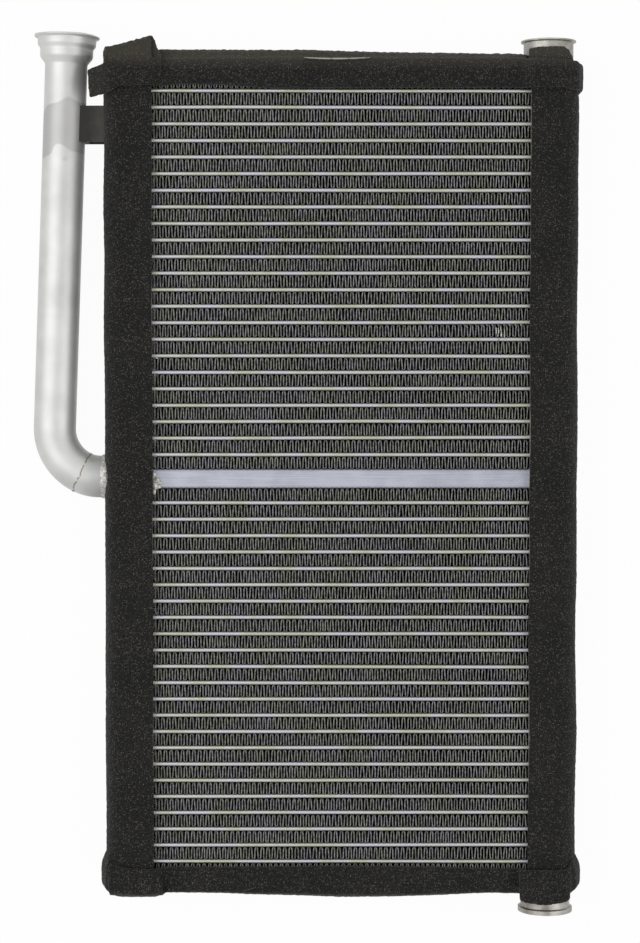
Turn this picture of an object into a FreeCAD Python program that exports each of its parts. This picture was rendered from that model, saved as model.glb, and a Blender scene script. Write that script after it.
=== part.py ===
"""Heater core: a brazed aluminium heat exchanger with foam sealing tape round its edges.

The core lies on its back, front face up. +X runs across the core along its tubes, +Y
runs along the headers towards the two ports, and +Z leaves the front face. While the
pieces are built, the point 0, 0, 0 is the middle of the core: halfway between the
headers, halfway along them and halfway through the depth. At the end every piece is
moved by one step, so that the finished part has its origin at the bottom centre of
its own box.
"""
import FreeCAD, Part

import math
import os

import Sketcher

PARTS_FOLDER = "parts"

# The driving dimensions, in millimetres, degrees or plain counts.
DRIVING_SIZES = {
    # Flat tubes, in two banks above and below the centre bar.
    "tube_height": 1.5,
    "tube_depth": 16.0,
    "tube_wall": 0.35,
    "tube_nose": 0.45,
    "tube_past_plate": 1.5,
    "tubes_per_bank": 23,
    # Corrugated fins, one row more than the tubes in each bank.
    "fin_height": 4.69,
    "fin_inset": 0.2,
    "fin_strip": 0.32,
    "fin_legs": 24,
    "fin_end_gap": 0.4,
    # Centre bar and the side channels that close the stack.
    "bar_height": 7.3,
    "bar_sheet": 0.8,
    "channel_height": 5.6,
    "channel_sheet": 1.0,
    "channel_proud": 0.2,
    "bend_radius": 1.2,
    # Headers: a slotted plate and a half-round tank each.
    "header_spacing": 156.4,
    "tank_over_tube": 1.35,
    "tank_wall": 1.0,
    "plate_setback": 7.3,
    "plate_wall": 1.5,
    "plate_lip": 0.8,
    "plate_lip_reach": 2.4,
    "slot_gap": 0.05,
    "header_past_stack": 0.5,
    # End caps and the round collars of the right-hand header.
    "cap_wall": 1.5,
    "cap_dish": 1.2,
    "collar_wall": 1.25,
    "collar_rise": 6.2,
    "collar_lip": 1.0,
    "collar_lip_height": 0.9,
    "collar_lip_edge": 0.54,
    "plug_disc": 1.1,
    "plug_rim": 1.5,
    "plug_spigot": 3.0,
    "plug_spigot_wall": 1.2,
    "plug_gap": 0.1,
    # Inlet pipe with its swaged cup, and the stub that joins it to the header.
    "pipe_radius": 7.95,
    "pipe_wall": 1.2,
    "pipe_tilt": 2.1,
    "pipe_bend_radius": 18.5,
    "stub_turn": 26.0,
    "stub_bend_radius": 15.0,
    "stub_lead": 4.0,
    "inlet_height": 0.5,
    "cup_rise": 9.7,
    "cup_depth": 11.0,
    "cup_radius": 9.9,
    "cup_mouth_radius": 10.9,
    "cup_lip_radius": 12.15,
    "cup_lip_height": 1.1,
    "cup_neck_depth": 4.9,
    "cup_lip_run": 1.54,
    "cup_bore_end": 8.3,
    "cup_bore_step": 0.36,
    "bead_width": 0.8,
    "ring_width": 0.5,
    "ring_length": 1.2,
    "ring_crown": 0.48,
    "ring_gap": 0.08,
    # Saddle bracket between the pipe and the left-hand header.
    "bracket_height": 13.5,
    "bracket_drop": 23.6,
    "bracket_depth": 10.0,
    "bracket_wall": 1.5,
    # Foam sealing tape.
    "foam_thickness": 1.8,
    "foam_gap": 0.1,
    "foam_corner": 7.0,
    "foam_edge_setback": 0.2,
    "foam_lap": 12.0,
    "foam_web": 2.6,
    "foam_step": 4.0,
    "foam_end_inset": 1.3,
    "foam_left_low_end": 1.7,
    "foam_left_high_end": 6.6,
    "flap_reach": 6.0,
    "flap_drop": 5.4,
    "flap_height": 10.5,
    "flap_root": 6.4,
    "flap_shoulder": 7.7,
    "flap_lean": 0.6,
    "tab_rise": 2.4,
    "sleeve_drop": 1.6,
}

doc = FreeCAD.newDocument("HeaterCore")
sheet = doc.addObject("Spreadsheet::Sheet", "Sizes")
for row, (alias, number) in enumerate(DRIVING_SIZES.items(), start=1):
    sheet.set(f"A{row}", alias)
    sheet.set(f"B{row}", str(number))
    sheet.setAlias(f"B{row}", alias)
doc.recompute()


class Size:
    """A size that knows both its number and the sheet expression behind it."""

    def __init__(self, number, text):
        self.number = number
        self.text = text

    def _join(self, sign, other, number):
        return Size(number, f"({self.text} {sign} {as_size(other).text})")

    def __add__(self, other):
        return self._join("+", other, self.number + as_size(other).number)

    def __sub__(self, other):
        return self._join("-", other, self.number - as_size(other).number)

    def __mul__(self, other):
        return self._join("*", other, self.number * as_size(other).number)

    def __truediv__(self, other):
        return self._join("/", other, self.number / as_size(other).number)

    def __radd__(self, other):
        return as_size(other) + self

    def __rsub__(self, other):
        return as_size(other) - self

    def __rmul__(self, other):
        return as_size(other) * self

    def __neg__(self):
        return Size(-self.number, f"(-1 * {self.text})")


def as_size(value):
    """Takes a plain number as a size of its own."""
    if isinstance(value, Size):
        return value
    return Size(float(value), repr(float(value)))


def size(alias):
    """The driving size with this alias."""
    return Size(float(DRIVING_SIZES[alias]), f"Sizes.{alias}")


def cosine(angle):
    """The cosine of a size in degrees."""
    return Size(math.cos(math.radians(angle.number)), f"cos({angle.text} * 1 deg)")


def sine(angle):
    """The sine of a size in degrees."""
    return Size(math.sin(math.radians(angle.number)), f"sin({angle.text} * 1 deg)")


def bind(item, path, value):
    """Ties one property of a document object to a size."""
    item.setExpression(path, as_size(value).text)


# Where the main pieces meet, worked out from the driving sizes.
HALF_TUBE = size("tube_height") / 2
TUBE_PITCH = size("tube_height") + size("fin_height")
HALF_BAR = size("bar_height") / 2
BANK_START = HALF_BAR + size("fin_height") + HALF_TUBE
FIN_START = HALF_BAR
BANK_SPAN = TUBE_PITCH * (size("tubes_per_bank") - 1)
FIN_SPAN = TUBE_PITCH * size("tubes_per_bank")
CHANNEL_START = HALF_BAR + size("fin_height") + FIN_SPAN
STACK_HALF = CHANNEL_START + size("channel_height")
HEADER_HALF = STACK_HALF + size("header_past_stack")
HEADER_X = size("header_spacing") / 2
PLATE_FACE = HEADER_X - size("plate_setback")
PLATE_BACK = PLATE_FACE + size("plate_wall")
TANK_RADIUS = size("tube_depth") / 2 + size("tank_over_tube")
PLATE_HALF_DEPTH = TANK_RADIUS + size("plate_lip")
HALF_CHANNEL_DEPTH = size("tube_depth") / 2 + size("channel_proud")
TANK_BORE = TANK_RADIUS - size("tank_wall")
TUBE_REACH = PLATE_BACK + size("tube_past_plate")
FIN_REACH = PLATE_FACE - size("fin_end_gap")
CAP_TOP = HEADER_HALF + size("cap_wall")
COLLAR_TOP = CAP_TOP + size("collar_rise")
COLLAR_BORE = TANK_RADIUS - size("collar_wall")
COLLAR_RIM = TANK_RADIUS + size("collar_lip")
PIPE_BORE = size("pipe_radius") - size("pipe_wall")
PAST_PIPE = size("pipe_radius") * 4
FOAM_INNER = PLATE_HALF_DEPTH + size("foam_gap")
FOAM_OUTER = FOAM_INNER + size("foam_thickness")
FOAM_EDGE = PLATE_FACE + size("foam_edge_setback")
FOAM_INNER_SIDE = HEADER_X + TANK_RADIUS + size("foam_gap")
FOAM_SIDE = FOAM_INNER_SIDE + size("foam_thickness")
OVER_INNER = FOAM_OUTER + size("foam_gap")
OVER_OUTER = OVER_INNER + size("foam_thickness")
CHANNEL_FOAM_INNER = HALF_CHANNEL_DEPTH + size("foam_gap")
CHANNEL_FOAM_OUTER = CHANNEL_FOAM_INNER + size("foam_thickness")
FOAM_TOP = STACK_HALF + size("foam_gap") + size("foam_web")
FOAM_WINDOW = FOAM_TOP - size("foam_lap")
FOAM_FLAT = FOAM_SIDE - size("foam_corner")
FOAM_RISE = FOAM_OUTER - size("foam_corner")
WRAP_INNER_SIDE = FOAM_SIDE + size("foam_gap")
WRAP_OUTER_SIDE = WRAP_INNER_SIDE + size("foam_thickness")

PLANE_ROLES = {"XY": "XY_Plane", "XZ": "XZ_Plane", "YZ": "YZ_Plane"}
sub_parts = []


def keep(item, label):
    """Names a finished document object as a sub-part."""
    item.Label = label
    sub_parts.append(item)
    return item


def new_body(label):
    """A PartDesign body that becomes a sub-part of its own."""
    body = doc.addObject("PartDesign::Body", f"{label}_body")
    body.AllowCompound = True
    return keep(body, label)


def new_sketch(body, plane, offset=None, shift=None, turn=0.0):
    """A sketch on one of the body's own origin planes, moved along and within it."""
    sketch = body.newObject("Sketcher::SketchObject", f"{body.Label}_sketch")
    role = PLANE_ROLES[plane]
    support = next(item for item in body.Origin.OriginFeatures if item.Role == role)
    sketch.AttachmentSupport = [(support, "")]
    sketch.MapMode = "FlatFace"
    axis = FreeCAD.Vector(0, 0, 1)
    sketch.AttachmentOffset = FreeCAD.Placement(FreeCAD.Vector(), FreeCAD.Rotation(axis, turn))
    if offset is not None:
        bind(sketch, "AttachmentOffset.Base.z", offset)
    if shift is not None:
        bind(sketch, "AttachmentOffset.Base.x", shift[0])
        bind(sketch, "AttachmentOffset.Base.y", shift[1])
    return sketch


def hold(sketch, geometry, position, axis, value):
    """Ties one coordinate of a sketch point to a size, or puts it on an axis."""
    if not isinstance(value, Size) and value == 0:
        line = -2 if axis == "X" else -1
        sketch.addConstraint(Sketcher.Constraint("PointOnObject", geometry, position, line))
        return
    number = as_size(value).number
    constraint = Sketcher.Constraint(f"Distance{axis}", -1, 1, geometry, position, number)
    index = sketch.addConstraint(constraint)
    bind(sketch, f"Constraints[{index}]", value)


def outline(sketch, corners, arcs=None):
    """Draws a closed outline through corners, each tied to its sizes.

    arcs gives, for the edge that leaves a corner, the arc's centre and whether it
    runs counter-clockwise. All other edges are straight.
    """
    arcs = arcs or {}
    points = [FreeCAD.Vector(as_size(x).number, as_size(y).number, 0) for x, y in corners]
    ends = []
    for edge, start in enumerate(points):
        finish = points[(edge + 1) % len(points)]
        if edge not in arcs:
            index = sketch.addGeometry(Part.LineSegment(start, finish))
            ends.append((index, 1, 2))
            continue
        (centre_x, centre_y), left_turn = arcs[edge]
        centre = FreeCAD.Vector(as_size(centre_x).number, as_size(centre_y).number, 0)
        circle = Part.Circle(centre, FreeCAD.Vector(0, 0, 1), (start - centre).Length)
        first, last = (start, finish) if left_turn else (finish, start)
        turn_from = math.atan2(first.y - centre.y, first.x - centre.x)
        turn_to = math.atan2(last.y - centre.y, last.x - centre.x)
        if turn_to < turn_from:
            turn_to += 2 * math.pi
        index = sketch.addGeometry(Part.ArcOfCircle(circle, turn_from, turn_to))
        ends.append((index, 1, 2) if left_turn else (index, 2, 1))
    for edge, (index, begin, end) in enumerate(ends):
        following, following_begin, _ = ends[(edge + 1) % len(ends)]
        link = Sketcher.Constraint("Coincident", index, end, following, following_begin)
        sketch.addConstraint(link)
    for (x, y), (index, begin, end) in zip(corners, ends):
        hold(sketch, index, begin, "X", x)
        hold(sketch, index, begin, "Y", y)
    for edge, ((centre_x, centre_y), _) in arcs.items():
        chord = points[(edge + 1) % len(points)] - points[edge]
        if abs(chord.y) > abs(chord.x):
            hold(sketch, ends[edge][0], 3, "X", centre_x)
        else:
            hold(sketch, ends[edge][0], 3, "Y", centre_y)


def ring(sketch, radii, centre=(0, 0)):
    """Draws concentric circles, each tied to its radius."""
    middle = FreeCAD.Vector(as_size(centre[0]).number, as_size(centre[1]).number, 0)
    for radius in radii:
        circle = Part.Circle(middle, FreeCAD.Vector(0, 0, 1), radius.number)
        index = sketch.addGeometry(circle)
        hold(sketch, index, 3, "X", centre[0])
        hold(sketch, index, 3, "Y", centre[1])
        across = sketch.addConstraint(Sketcher.Constraint("Radius", index, radius.number))
        bind(sketch, f"Constraints[{across}]", radius)


def grow(body, kind, sketch, length, both_ways=False, reverse=False):
    """A Pad or a Pocket of a sketch."""
    doc.recompute()
    before = body.Shape.Volume if kind == "Pocket" else 0.0
    feature = body.newObject(f"PartDesign::{kind}", f"{body.Label}_{kind.lower()}")
    feature.Profile = sketch
    feature.SideType = "Symmetric" if both_ways else "One side"
    feature.Reversed = reverse
    bind(feature, "Length", length)
    doc.recompute()
    if kind == "Pocket" and body.Shape.Volume >= before:
        raise RuntimeError(f"{body.Label}: a pocket removes nothing")
    return feature


def repeat(body, features, count, span, axis):
    """A linear pattern along one of the body's own axes."""
    pattern = body.newObject("PartDesign::LinearPattern", f"{body.Label}_pattern")
    pattern.Originals = features
    line = next(item for item in body.Origin.OriginFeatures if item.Role == f"{axis}_Axis")
    pattern.Direction = (line, [""])
    bind(pattern, "Occurrences", count)
    bind(pattern, "Length", span)
    body.Tip = pattern
    doc.recompute()
    return pattern


def spin(body, kind, sketch):
    """A full Revolution or Groove of a sketch about its own upright axis."""
    feature = body.newObject(f"PartDesign::{kind}", f"{body.Label}_{kind.lower()}")
    feature.Profile = sketch
    feature.ReferenceAxis = (sketch, ["V_Axis"])
    feature.Angle = 360
    doc.recompute()
    return feature


def rectangle(sketch, low_x, low_y, high_x, high_y):
    """Draws a rectangle between two opposite corners."""
    outline(sketch, [(low_x, low_y), (high_x, low_y), (high_x, high_y), (low_x, high_y)])


# Flat tubes: an extrusion with narrowed noses and one channel inside, patterned along
# the bank.
def make_tubes(label, side):
    body = new_body(label)
    sketch = new_sketch(body, "YZ")
    middle = BANK_START * side
    low = middle - HALF_TUBE
    high = middle + HALF_TUBE
    nose = size("tube_nose")
    front = size("tube_depth") / 2
    flat = front - nose
    outline(
        sketch,
        [
            (low, flat),
            (low, -flat),
            (low + nose, -front),
            (high - nose, -front),
            (high, -flat),
            (high, flat),
            (high - nose, front),
            (low + nose, front),
        ],
    )
    half_bore = HALF_TUBE - size("tube_wall")
    bore_end = front - HALF_TUBE
    rectangle(sketch, middle - half_bore, -bore_end, middle + half_bore, bore_end)
    tube = grow(body, "Pad", sketch, TUBE_REACH * 2, both_ways=True)
    pattern = repeat(body, [tube], size("tubes_per_bank"), BANK_SPAN, "Y")
    pattern.Reversed = side < 0
    return body


# Corrugated fins: one folded strip between each tube and the next.
def make_fins(label, side):
    body = new_body(label)
    sketch = new_sketch(body, "XY")
    legs = int(size("fin_legs").number)
    strip = size("fin_strip")
    low = FIN_START if side > 0 else -(FIN_START + size("fin_height"))
    crest = low + size("fin_height") - strip
    lower_edge = []
    for fold in range(legs + 1):
        x = FIN_REACH * (2.0 * fold / legs - 1.0)
        lower_edge.append((x, crest if fold % 2 else low))
    upper_edge = [(x, y + strip) for x, y in reversed(lower_edge)]
    outline(sketch, lower_edge + upper_edge)
    depth = size("tube_depth") - size("fin_inset") * 2
    fin = grow(body, "Pad", sketch, depth, both_ways=True)
    pattern = repeat(body, [fin], size("tubes_per_bank") + 1, FIN_SPAN, "Y")
    pattern.Reversed = side < 0
    return body


# A folded channel: a web that faces the next fin row and two legs, all one sheet.
def make_channel(label, web_y, leg_y, opens_up):
    body = new_body(label)
    sketch = new_sketch(body, "YZ")
    half = HALF_CHANNEL_DEPTH
    outer = size("bend_radius")
    sheet_size = size("channel_sheet")
    way = 1 if opens_up else -1
    web_inner = web_y + sheet_size * way
    bend_y = web_y + outer * way
    corners = [
        (leg_y, half),
        (bend_y, half),
        (web_y, half - outer),
        (web_y, outer - half),
        (bend_y, -half),
        (leg_y, -half),
        (leg_y, sheet_size - half),
        (web_inner, sheet_size - half),
        (web_inner, half - sheet_size),
        (leg_y, half - sheet_size),
    ]
    outline(
        sketch,
        corners,
        {1: ((bend_y, half - outer), opens_up), 3: ((bend_y, outer - half), opens_up)},
    )
    grow(body, "Pad", sketch, PLATE_FACE * 2, both_ways=True)
    return body


# The centre bar between the banks: a flattened tube with rounded edges.
def make_centre_bar():
    body = new_body("centre_bar")
    sketch = new_sketch(body, "YZ")
    half = size("tube_depth") / 2
    bend = size("bend_radius")
    flat_y = HALF_BAR - bend
    flat_z = half - bend
    outline(
        sketch,
        [
            (-HALF_BAR, flat_z),
            (-HALF_BAR, -flat_z),
            (-flat_y, -half),
            (flat_y, -half),
            (HALF_BAR, -flat_z),
            (HALF_BAR, flat_z),
            (flat_y, half),
            (-flat_y, half),
        ],
        {
            1: ((-flat_y, -flat_z), True),
            3: ((flat_y, -flat_z), True),
            5: ((flat_y, flat_z), True),
            7: ((-flat_y, flat_z), True),
        },
    )
    wall = size("bar_sheet")
    rectangle(sketch, wall - HALF_BAR, wall - half, HALF_BAR - wall, half - wall)
    grow(body, "Pad", sketch, PLATE_FACE * 2, both_ways=True)
    return body


# Header plate: a slotted web that takes the tube ends, with a lip down each long edge.
def make_header_plate(label, side):
    body = new_body(label)
    sketch = new_sketch(body, "XZ")
    face = PLATE_FACE * side
    back = PLATE_BACK * side
    lip_end = (PLATE_BACK + size("plate_lip_reach")) * side
    outer = PLATE_HALF_DEPTH
    inner = TANK_RADIUS
    corners = [
        (face, -outer),
        (lip_end, -outer),
        (lip_end, -inner),
        (back, -inner),
        (back, inner),
        (lip_end, inner),
        (lip_end, outer),
        (face, outer),
    ]
    outline(sketch, corners)
    grow(body, "Pad", sketch, HEADER_HALF * 2, both_ways=True)
    for bank in (1, -1):
        slot_sketch = new_sketch(body, "YZ", offset=face)
        gap = size("slot_gap")
        middle = BANK_START * bank
        half_slot = size("tube_depth") / 2 + gap
        reach = HALF_TUBE + gap
        rectangle(slot_sketch, middle - reach, -half_slot, middle + reach, half_slot)
        slot = grow(body, "Pocket", slot_sketch, size("plate_wall") * 2, reverse=side > 0)
        pattern = repeat(body, [slot], size("tubes_per_bank"), BANK_SPAN, "Y")
        pattern.Reversed = bank < 0
    return body


# Header tank: a half-round shell whose straight legs stand on the plate.
def make_header_tank(label, side):
    body = new_body(label)
    sketch = new_sketch(body, "XZ")
    foot = PLATE_BACK * side
    centre = HEADER_X * side
    radius = TANK_RADIUS
    away = side > 0
    corners = [
        (foot, -radius),
        (centre, -radius),
        (centre, radius),
        (foot, radius),
        (foot, TANK_BORE),
        (centre, TANK_BORE),
        (centre, -TANK_BORE),
        (foot, -TANK_BORE),
    ]
    outline(sketch, corners, {1: ((centre, 0), away), 5: ((centre, 0), not away)})
    grow(body, "Pad", sketch, HEADER_HALF * 2, both_ways=True)
    return body


def cap_outline(sketch, side, radius, foot):
    """Draws the header's end shape: a half circle with a straight foot."""
    centre = HEADER_X * side
    away = side > 0
    corners = [(foot, -radius), (centre, -radius), (centre, radius), (foot, radius)]
    outline(sketch, corners, {1: ((centre, 0), away)})


# Blank header cap: a plate over the header's end with a dished step inside it.
def make_cap(label, side, end):
    body = new_body(label)
    top = CAP_TOP * end
    plate_sketch = new_sketch(body, "XZ", offset=-top)
    cap_outline(plate_sketch, side, TANK_RADIUS, PLATE_FACE * side)
    grow(body, "Pad", plate_sketch, size("cap_wall"), reverse=end < 0)
    step_sketch = new_sketch(body, "XZ", offset=-(HEADER_HALF * end))
    step = TANK_BORE - size("slot_gap")
    foot = (PLATE_BACK + size("slot_gap")) * side
    cap_outline(step_sketch, side, step, foot)
    grow(body, "Pad", step_sketch, size("cap_dish"), reverse=end < 0)
    return body


# Round collar on a D-shaped foot: the open port above and the plugged one below.
def make_collar(label, end):
    body = new_body(label)
    foot_sketch = new_sketch(body, "XZ", offset=-(CAP_TOP * end))
    cap_outline(foot_sketch, 1, TANK_RADIUS, PLATE_FACE)
    grow(body, "Pad", foot_sketch, size("cap_wall"), reverse=end < 0)
    round_sketch = new_sketch(body, "XZ", offset=-(CAP_TOP * end))
    ring(round_sketch, [TANK_RADIUS], (HEADER_X, 0))
    grow(body, "Pad", round_sketch, size("cap_wall"), reverse=end < 0)
    bore_sketch = new_sketch(body, "XZ", offset=-(CAP_TOP * end))
    cap_outline(bore_sketch, 1, TANK_BORE, PLATE_BACK)
    grow(body, "Pocket", bore_sketch, size("cap_wall"), reverse=end > 0)
    collar_sketch = new_sketch(body, "XY", shift=(HEADER_X, 0))
    lip = size("collar_lip_height")
    corners = [
        (COLLAR_BORE, CAP_TOP * end),
        (TANK_RADIUS, CAP_TOP * end),
        (TANK_RADIUS, (COLLAR_TOP - lip) * end),
        (COLLAR_RIM, (COLLAR_TOP - size("collar_lip_edge")) * end),
        (COLLAR_RIM, COLLAR_TOP * end),
        (COLLAR_BORE, COLLAR_TOP * end),
    ]
    outline(collar_sketch, corners)
    spin(body, "Revolution", collar_sketch)
    return body


# Plug: a dished disc on the lower collar, with a spigot in the collar's bore.
def make_plug():
    body = new_body("lower_plug")
    sketch = new_sketch(body, "XY", shift=(HEADER_X, 0))
    seat = -COLLAR_TOP
    bottom = seat - size("plug_disc")
    spigot = COLLAR_BORE - size("plug_gap")
    spigot_bore = spigot - size("plug_spigot_wall")
    dish = spigot_bore - size("plug_rim")
    corners = [
        (0, seat),
        (spigot_bore, seat),
        (spigot_bore, seat + size("plug_spigot")),
        (spigot, seat + size("plug_spigot")),
        (spigot, seat),
        (COLLAR_RIM, seat),
        (COLLAR_RIM, bottom),
        (spigot_bore, bottom),
        (dish, bottom + size("plug_disc") / 2),
        (0, bottom + size("plug_disc") / 2),
    ]
    outline(sketch, corners)
    spin(body, "Revolution", sketch)
    return body


# The inlet's centre line runs from the left header outwards: a short lead, the stub's
# bend, the pipe's bend and the long straight run up to the cup.
CUP_RIM = HEADER_HALF + size("cup_rise")
TILT = size("pipe_tilt")
STUB_TURN = size("stub_turn")
LEAD_END = -(HEADER_X + TANK_RADIUS + size("stub_lead"))
SEAM_X = LEAD_END - size("stub_bend_radius") * sine(STUB_TURN)
SEAM_Y = size("inlet_height") + size("stub_bend_radius") * (1 - cosine(STUB_TURN))
BEND_CENTRE_X = SEAM_X + size("pipe_bend_radius") * sine(STUB_TURN)
BEND_CENTRE_Y = SEAM_Y + size("pipe_bend_radius") * cosine(STUB_TURN)
RUN_START_X = BEND_CENTRE_X - size("pipe_bend_radius") * cosine(TILT)
RUN_START_Y = BEND_CENTRE_Y + size("pipe_bend_radius") * sine(TILT)
RUN_LENGTH = (CUP_RIM - RUN_START_Y) / cosine(TILT) - size("cup_depth")
CUP_START_X = RUN_START_X + RUN_LENGTH * sine(TILT)
CUP_START_Y = RUN_START_Y + RUN_LENGTH * cosine(TILT)
BRACKET_MIDDLE = HEADER_HALF - size("bracket_drop")


def bend_sketch(body, centre, heading, bend_radius, radii):
    """A ring beside a bend's axis, which is the sketch's own upright axis.

    heading is the direction, in degrees from +X, in which the ring lies from the axis.
    """
    sketch = new_sketch(body, "XZ")
    turned = FreeCAD.Rotation(FreeCAD.Vector(0, 1, 0), heading)
    sketch.AttachmentOffset = FreeCAD.Placement(FreeCAD.Vector(), turned)
    bind(sketch, "AttachmentOffset.Base.x", centre[0])
    bind(sketch, "AttachmentOffset.Base.z", -centre[1])
    ring(sketch, radii, (bend_radius, 0))
    return sketch


def bend(body, sketch, turn):
    """Turns a ring about its sketch's upright axis."""
    feature = body.newObject("PartDesign::Revolution", f"{body.Label}_bend")
    feature.Profile = sketch
    feature.ReferenceAxis = (sketch, ["V_Axis"])
    bind(feature, "Angle", turn)
    doc.recompute()
    return feature


# Inlet pipe: one tube, bent at its foot and swaged out to a cup at its top.
def make_inlet_pipe():
    body = new_body("inlet_pipe")
    tilt = TILT.number
    centre = (BEND_CENTRE_X, BEND_CENTRE_Y)
    radii = [size("pipe_radius"), PIPE_BORE]
    section = bend_sketch(body, centre, -180 - tilt, size("pipe_bend_radius"), radii)
    bend(body, section, 90 + TILT - STUB_TURN)
    run = bend_sketch(body, centre, -180 - tilt, size("pipe_bend_radius"), radii)
    grow(body, "Pad", run, RUN_LENGTH)
    cup = new_sketch(body, "XY", shift=(CUP_START_X, CUP_START_Y), turn=-tilt)
    depth = size("cup_depth")
    wall = size("pipe_wall")
    lip = size("cup_lip_height")
    neck = depth - size("cup_neck_depth")
    shoulder = depth - size("cup_bore_end")
    radius = size("cup_radius")
    mouth = size("cup_mouth_radius")
    corners = [
        (PIPE_BORE, 0.0),
        (size("pipe_radius"), 0.0),
        (radius, shoulder),
        (radius, neck),
        (mouth, neck + wall),
        (mouth, depth - size("cup_lip_run")),
        (size("cup_lip_radius"), depth - lip),
        (size("cup_lip_radius"), depth),
        (mouth - wall, depth),
        (mouth - wall, neck + wall + wall / 2),
        (radius - wall, neck + wall / 2),
        (radius - wall, shoulder + size("cup_bore_step")),
    ]
    outline(cup, corners)
    spin(body, "Revolution", cup)
    return body


# Inlet stub: a short elbow, cut at its foot to sit on the round of the header.
def make_inlet_stub():
    body = new_body("inlet_stub")
    height = size("inlet_height")
    radii = [size("pipe_radius"), PIPE_BORE]
    centre = (LEAD_END, height + size("stub_bend_radius"))
    heading = -90 - STUB_TURN.number
    section = bend_sketch(body, centre, heading, size("stub_bend_radius"), radii)
    bend(body, section, STUB_TURN)
    lead = new_sketch(body, "YZ", offset=LEAD_END)
    ring(lead, radii, (height, 0))
    grow(body, "Pad", lead, TANK_RADIUS + size("stub_lead"))
    saddle = new_sketch(body, "XZ")
    ring(saddle, [TANK_RADIUS], (-HEADER_X, 0))
    grow(body, "Pocket", saddle, PAST_PIPE, both_ways=True)
    return body


def bound_cylinder(name, radius, height, base, axis, turn):
    """A Part cylinder whose sizes and place are tied to the sheet."""
    cylinder = doc.addObject("Part::Cylinder", name)
    cylinder.Placement = FreeCAD.Placement(FreeCAD.Vector(), FreeCAD.Rotation(axis, turn))
    bind(cylinder, "Radius", radius)
    bind(cylinder, "Height", height)
    for letter, value in zip("xyz", base):
        bind(cylinder, f"Placement.Base.{letter}", value)
    return cylinder


def bound_box(name, low, high):
    """A Part box between two corners that are tied to the sheet."""
    box = doc.addObject("Part::Box", name)
    for prop, letter, start, end in zip(("Length", "Width", "Height"), "xyz", low, high):
        bind(box, prop, as_size(end) - start)
        bind(box, f"Placement.Base.{letter}", start)
    return box


def combine(kind, name, base, tool):
    """A Part Cut, Common or Fuse of two objects."""
    result = doc.addObject(f"Part::{kind}", name)
    result.Base = base
    result.Tool = tool
    return result


# Weld bead: a ring that follows the joint between the stub and the round header.
def make_weld_bead():
    along_x = FreeCAD.Vector(0, 1, 0)
    along_y = FreeCAD.Vector(1, 0, 0)
    start = (LEAD_END, size("inlet_height"), 0.0)
    reach = HEADER_X + LEAD_END
    outer_radius = size("pipe_radius") + size("bead_width")
    outside = bound_cylinder("bead_outside", outer_radius, -reach, start, along_x, 90)
    inside = bound_cylinder("bead_inside", size("pipe_radius"), -reach, start, along_x, 90)
    sleeve = combine("Cut", "bead_sleeve", outside, inside)
    foot = (-HEADER_X, PAST_PIPE / 2, 0.0)
    tank = bound_cylinder("bead_tank", TANK_RADIUS, PAST_PIPE, foot, along_y, 90)
    crown_radius = TANK_RADIUS + size("bead_width")
    crown = bound_cylinder("bead_crown", crown_radius, PAST_PIPE, foot, along_y, 90)
    shell = combine("Cut", "bead_shell", crown, tank)
    return keep(combine("Common", "bead_common", sleeve, shell), "stub_weld_bead")


# Braze ring: filler left where the pipe meets the stub.
def make_braze_ring():
    body = new_body("pipe_braze_ring")
    half = size("ring_length") / 2
    sketch = new_sketch(body, "XY", shift=(SEAM_X, SEAM_Y), turn=-STUB_TURN.number)
    inner = size("pipe_radius") + size("ring_gap")
    crown = inner + size("ring_width")
    top = size("ring_crown") / 2
    outline(sketch, [(-half, inner), (half, inner), (top, crown), (-top, crown)])
    feature = body.newObject("PartDesign::Revolution", "pipe_braze_ring_turn")
    feature.Profile = sketch
    feature.ReferenceAxis = (sketch, ["H_Axis"])
    feature.Angle = 360
    doc.recompute()
    return body


# Bracket: a folded spacer whose ends are pressed to the round of the pipe and header.
def make_bracket():
    low_y = BRACKET_MIDDLE - size("bracket_height") / 2
    high_y = BRACKET_MIDDLE + size("bracket_height") / 2
    half = size("bracket_depth") / 2
    wall = size("bracket_wall")
    pipe_x = RUN_START_X + (BRACKET_MIDDLE - RUN_START_Y) / cosine(TILT) * sine(TILT)
    block = bound_box("bracket_block", (pipe_x, low_y, -half), (-HEADER_X, high_y, half))
    pipe = bound_cylinder(
        "bracket_pipe",
        size("pipe_radius"),
        RUN_LENGTH,
        (RUN_START_X, RUN_START_Y, 0.0),
        FreeCAD.Vector(1, 0, 0),
        -90,
    )
    upright = FreeCAD.Rotation(FreeCAD.Vector(1, 0, 0), -90)
    lean = FreeCAD.Rotation(FreeCAD.Vector(0, 0, 1), -TILT.number)
    pipe.Placement = FreeCAD.Placement(pipe.Placement.Base, lean.multiply(upright))
    tank = bound_cylinder(
        "bracket_tank",
        TANK_RADIUS,
        HEADER_HALF,
        (-HEADER_X, HEADER_HALF, 0.0),
        FreeCAD.Vector(1, 0, 0),
        90,
    )
    window_left = pipe_x + size("pipe_radius") + wall
    window_right = -HEADER_X - TANK_RADIUS - wall
    window = bound_box(
        "bracket_window",
        (window_left, low_y - wall, wall - half),
        (window_right, high_y + wall, half - wall),
    )
    seated = combine("Cut", "bracket_on_pipe", block, pipe)
    seated = combine("Cut", "bracket_on_tank", seated, tank)
    return keep(combine("Cut", "bracket_open", seated, window), "pipe_bracket")


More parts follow.
